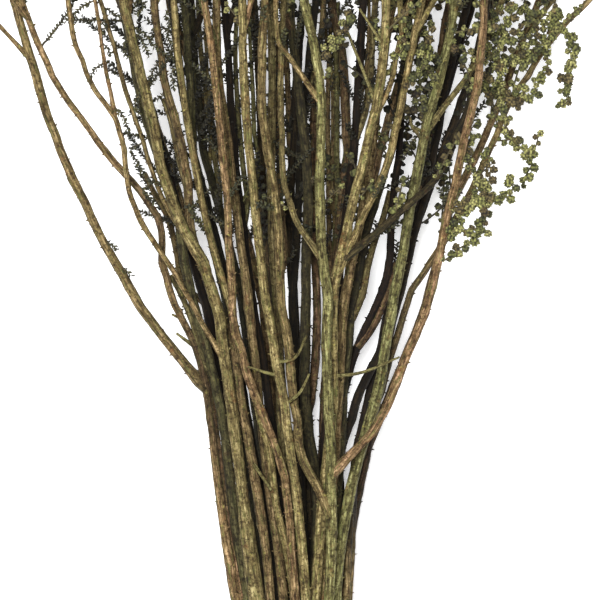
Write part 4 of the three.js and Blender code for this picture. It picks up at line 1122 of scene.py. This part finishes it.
def add_bark(surface, strand, tone_and_shade, number, rng):
    """The bark of a strand, with a collar where it forks off."""
    line, radii = strand.line, strand.line_radii
    ys = line[:, 1]
    if strand.parent:
        ahead = ys - ys[0]
        inside = ROOT_INSIDE * np.interp(ys[0], strand.parent.line[:, 1], strand.parent.line_radii)
        taper = smooth((ahead + 2) / ROOT_TAPER)
        radii = np.where(radii > inside, inside + (radii - inside) * taper, radii)
        radii = radii * (1 + COLLAR_SWELL * np.exp(-((ahead - COLLAR_FROM_ROOT) / COLLAR_LENGTH) ** 2))
    sides = next(count for least, count in BARK_SIDES if strand.spec["radius"] > least)
    relief = bark_relief(radii, ys, sides, rng)
    # Painted shade: darker inside the bunch, scaled by the strand's brightness
    shade = painted_shade_at(*line.T) * tone_and_shade
    tube(surface, line, relief, sides, shade, BARK_GRAIN, 3.7 * number)
    add_thorns(surface, line, relief, shade, rng)


def icosahedron():
    """Corners and triangles of a ball of 20 triangles."""
    golden = (1 + 5 ** 0.5) / 2
    corners = [np.roll((s, t * golden, 0), turn) for s in (-1, 1) for t in (-1, 1) for turn in range(3)]
    corners = unit(np.array(corners, dtype=float))
    near = corners @ corners.T > 0.4
    triangles = []
    for i in range(12):
        for j in range(i + 1, 12):
            for k in range(j + 1, 12):
                if near[i, j] and near[j, k] and near[i, k]:
                    facing = np.cross(corners[j] - corners[i], corners[k] - corners[i]) @ corners[i]
                    triangles.append((i, j, k) if facing > 0 else (i, k, j))
    return corners, np.array(triangles)


def finer(ball):
    """A ball with four triangles for each of its own."""
    corners, triangles = ball
    points = list(corners)
    middles = {}

    def middle(i, j):
        key = (min(i, j), max(i, j))
        if key not in middles:
            middles[key] = len(points)
            points.append(unit(corners[i] + corners[j]))
        return middles[key]

    fine = []
    for i, j, k in triangles:
        ij, jk, ki = middle(i, j), middle(j, k), middle(k, i)
        fine += [(i, ij, ki), (j, jk, ij), (k, ki, jk), (ij, jk, ki)]
    return np.array(points), np.array(fine)


def bobble_form(ball, lumps, rng):
    """One bobble, a little cluster of lumps: its corners, its triangles and how raised each corner is."""
    points, triangles = ball
    row = np.arange(lumps) + 0.5
    height = 1 - 2 * row / lumps
    turn = GOLDEN_ANGLE * row
    level = np.sqrt(1 - height ** 2)
    centres = np.stack([level * np.cos(turn), level * np.sin(turn), height], 1)
    centres = unit(centres + rng.normal(0, 0.12, centres.shape))
    lump_size = 1.1 / lumps
    tall = rng.uniform(0.55, 1, lumps)
    raised = (tall * np.exp(-(1 - points @ centres.T) / lump_size)).max(axis=1)
    reach = LOW_REACH + (HIGH_REACH - LOW_REACH) * raised + rng.normal(0, 0.02, len(points))
    return points * reach[:, None] * rng.uniform(0.9, 1.1, 3), triangles, np.clip(raised, 0, 1)


def bobble_forms():
    """A few bobbles of each fineness: coarse for hidden ones, plain, and fine for the traced twigs."""
    rng = np.random.default_rng(1)
    coarse, plain = icosahedron(), finer(icosahedron())
    balls = {"coarse": (coarse, 7), "plain": (plain, 12), "fine": (finer(plain), 22)}
    return {name: [bobble_form(ball, lumps, rng) for _ in range(BOBBLE_FORMS)]
            for name, (ball, lumps) in balls.items()}


FORMS = bobble_forms()


def random_turn(rng):
    w, x, y, z = unit(rng.normal(size=4))
    return np.array([[1 - 2 * (y * y + z * z), 2 * (x * y - z * w), 2 * (x * z + y * w)],
                     [2 * (x * y + z * w), 1 - 2 * (x * x + z * z), 2 * (y * z - x * w)],
                     [2 * (x * z - y * w), 2 * (y * z + x * w), 1 - 2 * (x * x + y * y)]])


def add_bobble(surface, at, radius, rng, traced_shade):
    """A bobble where it stays inside the part's limits. Its grain is how raised and which colour."""
    if abs(at[0]) > SIDE_LIMIT - radius or at[1] > TOP_LIMIT - radius or at[2] > HIGH_LIMIT - radius:
        return
    at = np.array([at[0], at[1], max(at[2], 1.15 * radius)])
    shade = float(painted_shade_at(*at))
    fineness = "fine" if traced_shade else "plain" if shade > HIDDEN_SHADE else "coarse"
    form, triangles, raised = FORMS[fineness][rng.integers(BOBBLE_FORMS)]
    points = at + form @ random_turn(rng).T * radius
    points[:, 2] = np.maximum(points[:, 2], LOW_LIMIT)
    grain = np.empty((len(points), 3))
    grain[:, 0] = raised
    grain[:, 1:] = rng.random(2)
    surface.add(points, triangles, traced_shade or shade, grain)


def add_twig(surface, points, spacing, foot_radius, rng, waver, tip, sides):
    """A thin tapering twig through points, a little wavering. Gives its line."""
    line = curve_through(points, spacing)
    line[1:-1] += rng.normal(0, waver, (len(line) - 2, 3))
    line[:, 2] = np.maximum(line[:, 2], FINE_TWIG_RADIUS)
    radii = np.linspace(foot_radius, FINE_TWIG_RADIUS * tip, len(line))
    tube(surface, line, radii, sides, painted_shade_at(*line.T), BARK_GRAIN, rng.uniform(0, 50))
    return line


def add_bobbly_twig(pieces, points, rng, foot_radius=FINE_TWIG_RADIUS, size=1.0, traced_shade=0.0):
    """A thin twig with bobbles on alternate sides, and one at its tip."""
    pitch = TRACED_PITCH if traced_shade else BOBBLE_PITCH
    line = add_twig(pieces["twigs"], points, pitch, foot_radius, rng, **UNDER_BOBBLES)
    tangents = headings(line)
    roll = rng.uniform(0, 2 * np.pi)
    for i in range(1, len(line)):
        side = unit(np.array([tangents[i][1], -tangents[i][0], 0.35]))
        turn = roll * 0.2 + rng.uniform(-0.7, 0.7) + np.pi * (i % 2)
        out = turned(side, np.cross(tangents[i], side), turn)
        radius = size * (BOBBLE_RADIUS + BOBBLE_SPREAD * rng.uniform(-1, 1))
        away = 0 if i + 1 == len(line) else BOBBLE_OFFSET * radius
        add_bobble(pieces["bobbles"], line[i] + out * away, radius, rng, traced_shade)


def add_leafy_twig(pieces, points, rng, foot_radius=FINE_TWIG_RADIUS):
    """A thin twig set with tiny pointed leaves that lean to its tip."""
    line = add_twig(pieces["twigs"], points, TWIG_POINT_SPACING, foot_radius, rng, **UNDER_LEAVES)
    length = lengths_along(line)
    count = max(2, int(length[-1] / LEAF_PITCH))
    stops = np.linspace(0.12, 1, count) * length[-1]
    at = places_on(line, length, stops)
    across, up = frames(line)
    nearest = np.minimum(len(line) - 1, np.searchsorted(length, stops))
    ahead = headings(line)[nearest]
    out = turned(across[nearest], up[nearest], GOLDEN_ANGLE * np.arange(count) + rng.uniform(0, 6))
    sideways = np.cross(out, ahead)
    reach = LEAF_LENGTH * rng.uniform(0.7, 1.15, count)[:, None]
    way = unit(out * rng.uniform(0.6, 1, (count, 1)) + ahead * rng.uniform(0.4, 0.9, (count, 1)))
    widest = at + way * reach * 0.42
    wide = sideways * LEAF_HALF_WIDTH * rng.uniform(0.8, 1.2, (count, 1))
    belly = widest + np.cross(sideways, way) * LEAF_HALF_WIDTH * 0.7
    points = np.stack([at, widest + wide, at + way * reach, widest - wide, belly], 1)
    points = np.clip(points, [-SIDE_LIMIT, -np.inf, LOW_LIMIT], [SIDE_LIMIT, TOP_LIMIT, HIGH_LIMIT])
    one = np.array([[0, 2, 1], [0, 3, 2], [0, 1, 4], [1, 2, 4], [2, 3, 4], [3, 0, 4]])
    triangles = (one[None] + 5 * np.arange(count)[:, None, None]).reshape(-1, 3)
    grain = np.zeros((count, 5, 3))
    grain[:, 2, 0] = 1
    grain[..., 1] = rng.random(count)[:, None]
    shade = np.repeat(painted_shade_at(*at.T), 5)
    pieces["leaves"].add(points.reshape(-1, 3), triangles, shade, grain.reshape(-1, 3))


def fine_twig_points(strand, y, length, rng):
    """A twig that leaves a strand at a drawn angle and curves up along it."""
    start = on_line(strand, y)
    forward, across, up = directions(start, on_line(strand, y + STATION_STEP))
    out = turned(across, up, rng.uniform(0, 2 * np.pi))
    lean = rng.uniform(0.55, 1.1)
    bend = rng.uniform(-0.15, 0.45)
    shares = np.array([0, 0.35, 0.7, 1])[:, None]
    points = start + forward * length * (shares * np.cos(lean) + bend * shares ** 2)
    points = points + out * length * np.sin(lean) * (shares - 0.25 * bend * shares ** 2)
    return np.clip(points, [3 - SIDE_LIMIT, -np.inf, 2], [SIDE_LIMIT - 3, TOP_LIMIT - 3, HIGH_LIMIT - 3])


def leafy_share(x, y):
    """How many twigs at a place are leafy rather than bobbly: most of them at the left, low down."""
    left = 0.2 + 0.8 * smooth((30 - x) / 60)
    return left + (0.35 - left) * smooth((y - 60) / 80)


def add_fine_twigs(pieces, strand, rng):
    """The many thin twigs of a strand, close together where it is hidden or in the crown."""
    front = strand.spec["level"] > FRONT_LEVEL
    bare_to = CROWN_Y if strand.node in BARE_STEMS else FRONT_TWIGS_FROM_Y if front else BACK_TWIGS_FROM_Y
    y = max(station_y(strand.first) + BARE_AT_ROOT, bare_to) + 10 * rng.random()
    while y < station_y(strand.last) - BARE_AT_TIP:
        longest = FRONT_TWIG_LENGTH if front and y < CROWN_Y else FINE_TWIG_LENGTH
        points = fine_twig_points(strand, y, longest * rng.uniform(0.55, 1.35), rng)
        leafy = rng.random() < leafy_share(points[0][0], y)
        (add_leafy_twig if leafy else add_bobbly_twig)(pieces, points, rng)
        spacing = CROWN_TWIG_SPACING if y > CROWN_Y else FRONT_TWIG_SPACING if front else BACK_TWIG_SPACING
        y += spacing * rng.uniform(0.7, 1.3)


def traced_points(spec):
    """A twig from the photo as points, its foot on the nearest strand of its stem."""
    (x, y), *rest = spec["route"]
    k = nearest_station(y)
    own = [s for s in strands if s.node == spec["stem"] - 1 and s.first < k < s.last]
    start = min((on_line(s, y) for s in own), key=lambda place: abs(place[0] - x))
    rise = spec.get("rise", 0)
    heights = [start[2] + rise * smooth(1.5 * i / len(rest)) for i in range(1, len(rest) + 1)]
    return [start] + [np.array([x, y, z]) for (x, y), z in zip(rest, heights)]


def add_shoot(pieces, spec, rng):
    """A thin bare shoot between the stems, with short leafy twigs on it."""
    line = curve_through(traced_points(spec), RING_SPACING)
    radii = np.linspace(spec["radius"], spec["radius"] * SHOOT_TAPER, len(line))
    relief = bark_relief(radii, line[:, 1], SHOOT_SIDES, rng)
    shade = np.maximum(painted_shade_at(*line.T), SHOOT_SHADE)
    pieces["bark"].tint = rng.random()
    tube(pieces["bark"], line, relief, SHOOT_SIDES, shade, BARK_GRAIN, rng.uniform(0, 50))
    add_thorns(pieces["bark"], line, relief, shade, rng)
    tangents = headings(line)
    step = SHOOT_TWIG_SPACING / RING_SPACING
    for row in np.arange(step, len(line) - 1, step).astype(int):
        if line[row, 1] >= SHOOT_BARE_TO:
            way = unit(tangents[row] + rng.normal(0, 0.5, 3))
            reach = SHOOT_TWIG_LENGTH * rng.uniform(0.6, 1.4)
            points = [line[row], line[row] + way * reach / 2, line[row] + (way + [0, 0.3, 0]) * reach]
            add_leafy_twig(pieces, points, rng)


def own_twigs(rows, node):
    """The twigs of a stem, each with its foot moved onto the middle line of the strand it grows from."""
    return [[on_line(strand, points[0][1])] + points[1:] for strand, points in rows if strand.node == node]


def of_stem(specs, node):
    return [spec for spec in specs if spec["stem"] == node + 1]


def stem_pieces(node, rng):
    """Bark, twigs, bobbles and leaves of one stem."""
    pieces = {part: Surface() for part in ("bark", "twigs", "bobbles", "leaves")}
    bark = pieces["bark"]
    for number, strand in enumerate(s for s in strands if s.node == node):
        drawn = (rng.random(), 1.0)
        bark.tint, tone_and_shade = BARK_LOOKS.get(strands.index(strand), drawn)
        add_bark(bark, strand, tone_and_shade, 40 * node + 3 * number, rng)
        tip = [on_line(strand, station_y(k)) for k in range(strand.tip_from, strand.last + 1)]
        foot_radius = strand.radius[strand.tip_from] * TIP_TWIG_SHARE
        add_bobbly_twig(pieces, tip, rng, foot_radius, TIP_BOBBLE_SIZE)
        add_fine_twigs(pieces, strand, rng)
    bark.tint = SNAG_TINT
    for points in own_twigs(snags, node):
        line = curve_through(points, RING_SPACING)
        radii = np.linspace(SNAG_RADIUS, SNAG_END_RADIUS, len(line))
        relief = np.minimum(bark_relief(radii, line[:, 1], SNAG_SIDES, rng), SNAG_MOST_RADIUS)
        tube(bark, line, relief, SNAG_SIDES, painted_shade_at(*line.T), BARK_GRAIN, node)
    for points in own_twigs(main_twigs, node):
        leafy = points[0][0] < LEAFY_SIDE_X and points[0][1] < CROWN_Y
        (add_leafy_twig if leafy else add_bobbly_twig)(pieces, points, rng, TWIG_RADIUS)
    for spec in of_stem(TRACED_TWIGS, node):
        # Painted shade of a traced twig: 1 for lit ones, less for those in shadow behind a stem
        shade = spec.get("shade", 1.0)
        add_bobbly_twig(pieces, traced_points(spec), rng, size=TRACED_SIZE, traced_shade=shade)
    for spec in of_stem(TRACED_LEAFY, node):
        add_leafy_twig(pieces, traced_points(spec), rng)
    for spec in of_stem(SHOOTS, node):
        add_shoot(pieces, spec, rng)
    return pieces


def colour(red, green, blue):
    """A colour given as it looks on screen, 0 to 255, in the linear units of a shader."""
    return tuple((c / 255 / 12.92 if c < 10.3 else ((c / 255 + 0.055) / 1.055) ** 2.4)
                 for c in (red, green, blue)) + (1,)


class Shader:
    """A node material that is built up step by step."""

    def __init__(self, name, roughness):
        self.material = bpy.data.materials.new(name)
        self.material.use_nodes = True
        self.nodes = self.material.node_tree.nodes
        self.links = self.material.node_tree.links
        self.surface = self.nodes["Principled BSDF"]
        self.surface.inputs["Roughness"].default_value = roughness

    def node(self, kind, inputs, **settings):
        """A new node with its settings, and a value or another node's output in each of its inputs."""
        node = self.nodes.new(kind)
        for name, setting in settings.items():
            setattr(node, name, setting)
        for name, value in inputs.items():
            if isinstance(value, bpy.types.NodeSocket):
                self.links.new(value, node.inputs[name])
            else:
                node.inputs[name].default_value = value
        return node

    def attribute(self, name, output="Fac"):
        return self.node("ShaderNodeAttribute", {}, attribute_name=name).outputs[output]

    def places(self):
        return self.node("ShaderNodeTexCoord", {}).outputs["Object"]

    def grain_parts(self):
        """The three numbers of the grain."""
        parts = self.node("ShaderNodeSeparateXYZ", {})
        self.links.new(self.attribute("grain", "Vector"), parts.inputs["Vector"])
        return tuple(parts.outputs)

    def noise(self, vector, scale, detail=4, roughness=0.6):
        inputs = {"Vector": vector, "Scale": scale, "Detail": detail, "Roughness": roughness}
        return self.node("ShaderNodeTexNoise", inputs).outputs["Fac"]

    def streaks(self, grain, stretch, scale=1, detail=4, roughness=0.6):
        """Noise in the grain, which is stretched so that it runs along the piece."""
        stretched = self.node("ShaderNodeMapping", {"Vector": grain, "Scale": stretch}).outputs["Vector"]
        return self.noise(stretched, scale, detail, roughness)

    def ramp(self, value, *stops):
        """Colours or greys over a value. A stop is a place from 0 to 1 and then its colour or grey."""
        node = self.node("ShaderNodeValToRGB", {"Fac": value})
        marks = node.color_ramp.elements
        while len(marks) < len(stops):
            marks.new(0.5)
        for mark, (place, *shade) in zip(marks, stops):
            mark.position = place
            mark.color = colour(*shade) if len(shade) == 3 else (*shade * 3, 1)
        return node.outputs["Color"]

    def math(self, operation, a, b):
        inputs = {0: a, 1: b}
        return self.node("ShaderNodeMath", inputs, operation=operation, use_clamp=True).outputs["Value"]

    def mix(self, share, a, b, blend="MIX"):
        inputs = {"Factor": share, "A": a, "B": b}
        return self.node("ShaderNodeMix", inputs, data_type="RGBA", blend_type=blend).outputs["Result"]

    def dimmed(self, base, *rgb):
        return self.mix(1.0, base, colour(*rgb), "MULTIPLY")

    def with_painted_shade(self, base, *rgb):
        """The base with painted shade: dimmed where it lies well inside the bunch."""
        hidden = self.dimmed(base, *rgb)
        return self.mix(self.attribute("shade"), hidden, base)

    def bump(self, height, strength, distance):
        node = self.node("ShaderNodeBump", {"Strength": strength, "Distance": distance, "Height": height})
        self.links.new(node.outputs["Normal"], self.surface.inputs["Normal"])

    def finish(self, base):
        self.links.new(base, self.surface.inputs["Base Color"])
        return self.material


def bark_material():
    """Olive bark with streaks along the stem, grey-green to mauve-brown, with lichen, dark mottling and pits,
    and painted shade inside the bunch.
    """
    s = Shader("bark", 0.85)
    s.surface.inputs["Specular IOR Level"].default_value = 0.25
    grain = s.attribute("grain", "Vector")
    places = s.places()
    streaks = s.streaks(grain, (2.6, 2.6, 1.3), 1, 7, 0.7)
    base = s.ramp(streaks, (0.3, 44, 37, 24), (0.42, 86, 76, 49), (0.53, 126, 115, 79), (0.67, 200, 188, 146))
    hue = s.math("ADD", s.math("MULTIPLY", s.attribute("tint"), 0.7),
                 s.math("MULTIPLY", s.streaks(grain, (0.9, 0.9, 0.6)), 0.3))
    hue = s.ramp(hue, (0.15, 222, 238, 212), (0.5, 250, 240, 222), (0.85, 240, 206, 210))
    base = s.mix(1.0, base, hue, "MULTIPLY")
    mottle = s.noise(places, 330, 5, 0.75)
    base = s.mix(s.ramp(mottle, (0.47, 0), (0.6, 0.85)), base, s.dimmed(base, 130, 114, 90))
    pits = s.noise(places, 900, 3, 0.7)
    base = s.mix(s.ramp(pits, (0.38, 0.8), (0.48, 0)), base, s.dimmed(base, 118, 106, 88))
    green = s.streaks(grain, (1.3, 1.3, 0.8), 1.7)
    base = s.mix(s.ramp(green, (0.54, 0), (0.66, 0.55)), base, colour(98, 104, 54))
    rust = s.noise(places, 180, 3)
    base = s.mix(s.ramp(rust, (0.62, 0), (0.74, 0.5)), base, colour(124, 82, 48))
    lichen = s.noise(places, 520, 3, 0.55)
    base = s.mix(s.ramp(lichen, (0.64, 0), (0.74, 0.8)), base, colour(154, 144, 78))
    # Painted shade: the bark is darkened where it lies inside the bunch
    base = s.with_painted_shade(base, 66, 58, 46)
    fine = s.streaks(grain, (7, 7, 2.2), 1, 5, 0.7)
    rough = s.math("ADD", s.math("MULTIPLY", mottle, 0.5), s.math("MULTIPLY", s.math("ADD", fine, pits), 0.3))
    s.bump(s.math("ADD", s.math("MULTIPLY", streaks, 0.5), s.math("MULTIPLY", rough, 0.6)), 1.0, 0.0009)
    return s.finish(base)


def bobble_material():
    """Dry bobbles: pale olive lumps, some of them brown, with painted highlights on their raised tops and
    painted shade between them and inside the bunch.
    """
    s = Shader("bobble", 0.85)
    raised, which, other = s.grain_parts()
    pale = s.ramp(which, (0, 84, 86, 44), (0.3, 122, 124, 66), (0.65, 148, 148, 84), (1, 178, 174, 108))
    pale = s.mix(s.ramp(other, (0.74, 0), (0.82, 0.75)), pale, colour(104, 82, 50))
    # Painted shade for the crevices between the lumps
    painted_crevice_shade = s.dimmed(pale, 58, 54, 38)
    flecks = s.noise(s.places(), 1100, 4, 0.65)
    # Painted highlight on the raised tops of the lumps, mixed with real colour flecks
    lit = s.math("ADD", s.math("MULTIPLY", raised, 0.75), s.math("MULTIPLY", flecks, 0.45))
    base = s.mix(s.ramp(lit, (0.32, 0), (0.78, 1)), painted_crevice_shade, pale)
    s.bump(flecks, 0.8, 0.0005)
    # Painted shade: darker where the bobble lies inside the bunch
    return s.finish(s.with_painted_shade(base, 96, 92, 74))


def leaf_material():
    """Tiny dry leaves, nearly black-green, partly their own dark colour and partly painted shade for the
    shadow they lie in, paler at their points.
    """
    s = Shader("leaf", 0.75)
    at_point, which, _ = s.grain_parts()
    # Near-black greens: partly the leaves' own colour, partly painted shade
    base = s.ramp(which, (0, 27, 28, 16), (0.6, 44, 45, 24), (1, 76, 75, 38))
    base = s.mix(s.math("MULTIPLY", at_point, 0.3), base, colour(92, 90, 54))
    # Painted shade: darker still where the leaf lies inside the bunch
    return s.finish(s.with_painted_shade(base, 150, 140, 120))


def twig_material():
    """Thin dry twigs, browner than the stems."""
    s = Shader("fine twig", 0.85)
    streaks = s.streaks(s.attribute("grain", "Vector"), (1.5, 1.5, 1.5))
    base = s.ramp(streaks, (0.35, 38, 33, 22), (0.5, 66, 58, 37), (0.66, 108, 98, 62))
    s.bump(streaks, 0.5, 0.0002)
    # Painted shade: twigs are darkened where they lie inside the bunch
    return s.finish(s.with_painted_shade(base, 120, 108, 92))


def wood_material():
    """Cut wood: pale rings round a dark pith."""
    s = Shader("cut wood", 0.8)
    from_pith, _, _ = s.grain_parts()
    uneven = s.noise(s.places(), 900)
    rings = s.math("ADD", from_pith, s.math("MULTIPLY", uneven, 0.12))
    s.bump(uneven, 0.5, 0.0003)
    return s.finish(s.ramp(rings, (0.08, 70, 52, 34), (0.2, 196, 172, 124), (0.5, 176, 148, 98),
                           (0.72, 204, 180, 132), (0.97, 96, 78, 50)))


def twine_material():
    """Natural twine: pale fibres along each ply, darker between them."""
    s = Shader("twine", 0.95)
    fibres = s.streaks(s.attribute("grain", "Vector"), (6, 6, 0.6), 1, 6, 0.7)
    s.bump(fibres, 0.8, 0.0004)
    return s.finish(s.ramp(fibres, (0.3, 104, 80, 46), (0.5, 166, 138, 90), (0.7, 206, 182, 134)))


def floor_material():
    """A plain white surface, lit from within like a light table, so that it shows no shadows."""
    s = Shader("floor", 0.9)
    s.surface.inputs["Base Color"].default_value = (0.9, 0.9, 0.9, 1)
    s.surface.inputs["Emission Color"].default_value = (1, 1, 1, 1)
    s.surface.inputs["Emission Strength"].default_value = FLOOR_GLOW
    return s.material


def wrap_point(angle, out, y):
    """A point of the tie's outline: the stem that reaches furthest in a direction, and how far out."""
    nx, nz = math.cos(angle), math.sin(angle)
    k = nearest_station(TIE_Y)
    stems = [s for s in strands if not s.parent]
    stem = max(stems, key=lambda s: s.x[k] * nx + s.z[k] * nz + s.radius[k])
    radius = stem.radius[k] + out
    return np.array([stem.x[k] + radius * nx, y, stem.z[k] + radius * nz])


def add_twine(surface, path, radius, grain_from):
    """Twine along a path: three plies twisted round one another."""
    path = curve_through(path, TWINE_RING_SPACING)
    path[:, 2] = np.maximum(path[:, 2], radius)
    across, up = frames(path)
    length = TWINE_RING_SPACING * np.arange(len(path))
    for ply in range(3):
        out = turned(across, up, 2 * np.pi * (length / PLY_TWIST + ply / 3))
        radii = np.full(len(path), PLY_SHARE * radius)
        line = path + out * (1 - PLY_SHARE) * radius
        tube(surface, line, radii, PLY_SIDES, 1.0, TWINE_GRAIN, grain_from + 5 * ply)


def add_fibres(surface, at, away, rng):
    """The frayed end of the twine."""
    half = FIBRE_LENGTH / 2
    for _ in range(FRAYED_FIBRES):
        way = unit(away + rng.normal(0, FIBRE_SPREAD, 3))
        points = [at - away * half, at + way * half, at + way * FIBRE_LENGTH + rng.normal(0, 0.4, 3)]
        line = np.maximum(points, [-np.inf, -np.inf, 0.2])
        tube(surface, line, [0.18, 0.15, 0.06], 3, 1.0, TWINE_GRAIN, rng.uniform(0, 30))


def make_tie(material):
    """Twine drawn round the neck in turns side by side, knotted on top, with two frayed ends."""
    surface = Surface()
    rng = np.random.default_rng(3)
    out = TIE_CLEARANCE + TWINE_RADIUS
    outline = np.array([wrap_point(a, out, 0) for a in np.linspace(0, 2 * np.pi, OUTLINE_STEPS + 1)])
    length = lengths_along(outline)
    wound = np.linspace(0, VISUAL_TURNS, TURN_POINTS * VISUAL_TURNS)
    turns = places_on(outline, length, (wound + TOP_OF_TURN) % 1 * length[-1])
    turns[:, 1] = TIE_Y + (wound - VISUAL_TURNS / 2) * VISUAL_PITCH
    add_twine(surface, turns, TWINE_RADIUS, 0)
    top = wrap_point(math.pi / 2, TIE_CLEARANCE + TIE_THICKNESS, TIE_Y)
    t = np.linspace(0, 2 * np.pi, KNOT_POINTS)
    knot = np.stack([(np.sin(t) + 2 * np.sin(2 * t)) * KNOT_WIDTH,
                     (np.cos(t) - 2 * np.cos(2 * t)) * KNOT_LENGTH, 0.5 - 0.7 * np.sin(3 * t)], 1)
    add_twine(surface, top + knot, KNOT_TWINE_RADIUS, 20)
    for side in (1, -1):
        points = top + np.array(TAIL_ROUTE) * [side, side, 1]
        add_twine(surface, points, TAIL_RADIUS, 40 * side)
        add_fibres(surface, points[-1], unit(points[-1] - points[-2]), rng)
    surface.piece("tie_twine", material, "twine", "tie")


def make_cut_ends(material):
    """The cut faces at the lower ends of the stems, each a little slanted."""
    surface = Surface()
    rng = np.random.default_rng(9)
    spokes = np.arange(CUT_SIDES)
    after = (spokes + 1) % CUT_SIDES
    angles = 2 * np.pi * spokes / CUT_SIDES
    shares = np.arange(1, CUT_RINGS + 1)[:, None] / CUT_RINGS
    triangles = [np.stack([0 * spokes, 1 + spokes, 1 + after], 1)]
    for ring in range(CUT_RINGS - 1):
        a, b = 1 + ring * CUT_SIDES + spokes, 1 + ring * CUT_SIDES + after
        triangles += [np.stack([a, a + CUT_SIDES, b + CUT_SIDES], 1), np.stack([a, b + CUT_SIDES, b], 1)]
    grain = np.zeros((1 + CUT_RINGS * CUT_SIDES, 3))
    grain[1:, 0] = np.repeat(shares, CUT_SIDES)
    for strand in strands:
        if strand.parent:
            continue
        at = strand.line[0] - [0, CUT_LIFT, 0]
        slant = rng.uniform(0, 0.12, 2)
        wide = strand.radius[strand.first] * CUT_SHARE * shares * (1 + 0.05 * np.sin(3 * angles + at[0]))
        x, z = (wide * np.cos(angles)).ravel(), (wide * np.sin(angles)).ravel()
        rim = at + np.stack([x, slant[0] * np.abs(x) + slant[1] * np.abs(z), z], 1)
        surface.add(np.concatenate([[at], rim]), np.concatenate(triangles), 1.0, grain)
    surface.piece("cut_ends", material, "cut_wood")


def build_stems():
    """Every stem as its bark, its fine twigs, its bobbles and its leaves, where it has them."""
    finishes = {"bark": (bark_material(), "bark"), "twigs": (twig_material(), "bark"),
                "bobbles": (bobble_material(), "bobble"), "leaves": (leaf_material(), "leaf")}
    rng = np.random.default_rng(50)
    for strand in strands:
        draw_middle(strand, rng)
    for node in range(len(STEMS)):
        name = f"stem_{node + 1:02d}"
        pieces = stem_pieces(node, np.random.default_rng(100 + node))
        for part, (material, slot) in finishes.items():
            if pieces[part].count:
                pieces[part].piece(f"{name}_{part}", material, slot, name)


def make_floor():
    mesh = bpy.data.meshes.new("floor")
    corners = [(x * FLOOR_SIZE, y * FLOOR_SIZE, 0) for x, y in ((-1, -1), (1, -1), (1, 1), (-1, 1))]
    mesh.from_pydata(corners, [], [(0, 1, 2, 3)])
    mesh.materials.append(floor_material())
    floor = in_scene("floor", mesh)


def make_light(name, place, size, power):
    light = bpy.data.lights.new(name, "AREA")
    light.shape = "DISK"
    light.size = size
    light.energy = power
    lamp = in_scene(name, light)
    lamp.location = place
    lamp.rotation_euler = (Vector(LIT_SPOT) - Vector(place)).to_track_quat("-Z", "Y").to_euler()


def make_world():
    bpy.context.scene.view_settings.view_transform = "Standard"
    world = bpy.data.worlds.new("studio")
    world.use_nodes = True
    background = world.node_tree.nodes["Background"]
    background.inputs["Color"].default_value = (1, 1, 1, 1)
    background.inputs["Strength"].default_value = WORLD_LIGHT
    bpy.context.scene.world = world


def make_camera():
    """Straight above the part of the bunch that the photo shows, up the image along the stems."""
    lens = bpy.data.cameras.new("camera")
    lens.sensor_width = 36
    lens.lens = lens.sensor_width * (CAMERA_HEIGHT - CAMERA_FOCUS) / PHOTO_WIDTH
    lens.clip_end = 50
    camera = in_scene("camera", lens)
    camera.location = (PHOTO_X, PHOTO_Y, CAMERA_HEIGHT)
    bpy.context.scene.camera = camera


build_stems()
make_tie(twine_material())
make_cut_ends(wood_material())
make_floor()
make_world()
make_light("key", (-0.35, 0.15, 2.2), 1.1, 92)
make_light("fill", (0.9, -0.6, 1.8), 1.4, 12)
make_camera()
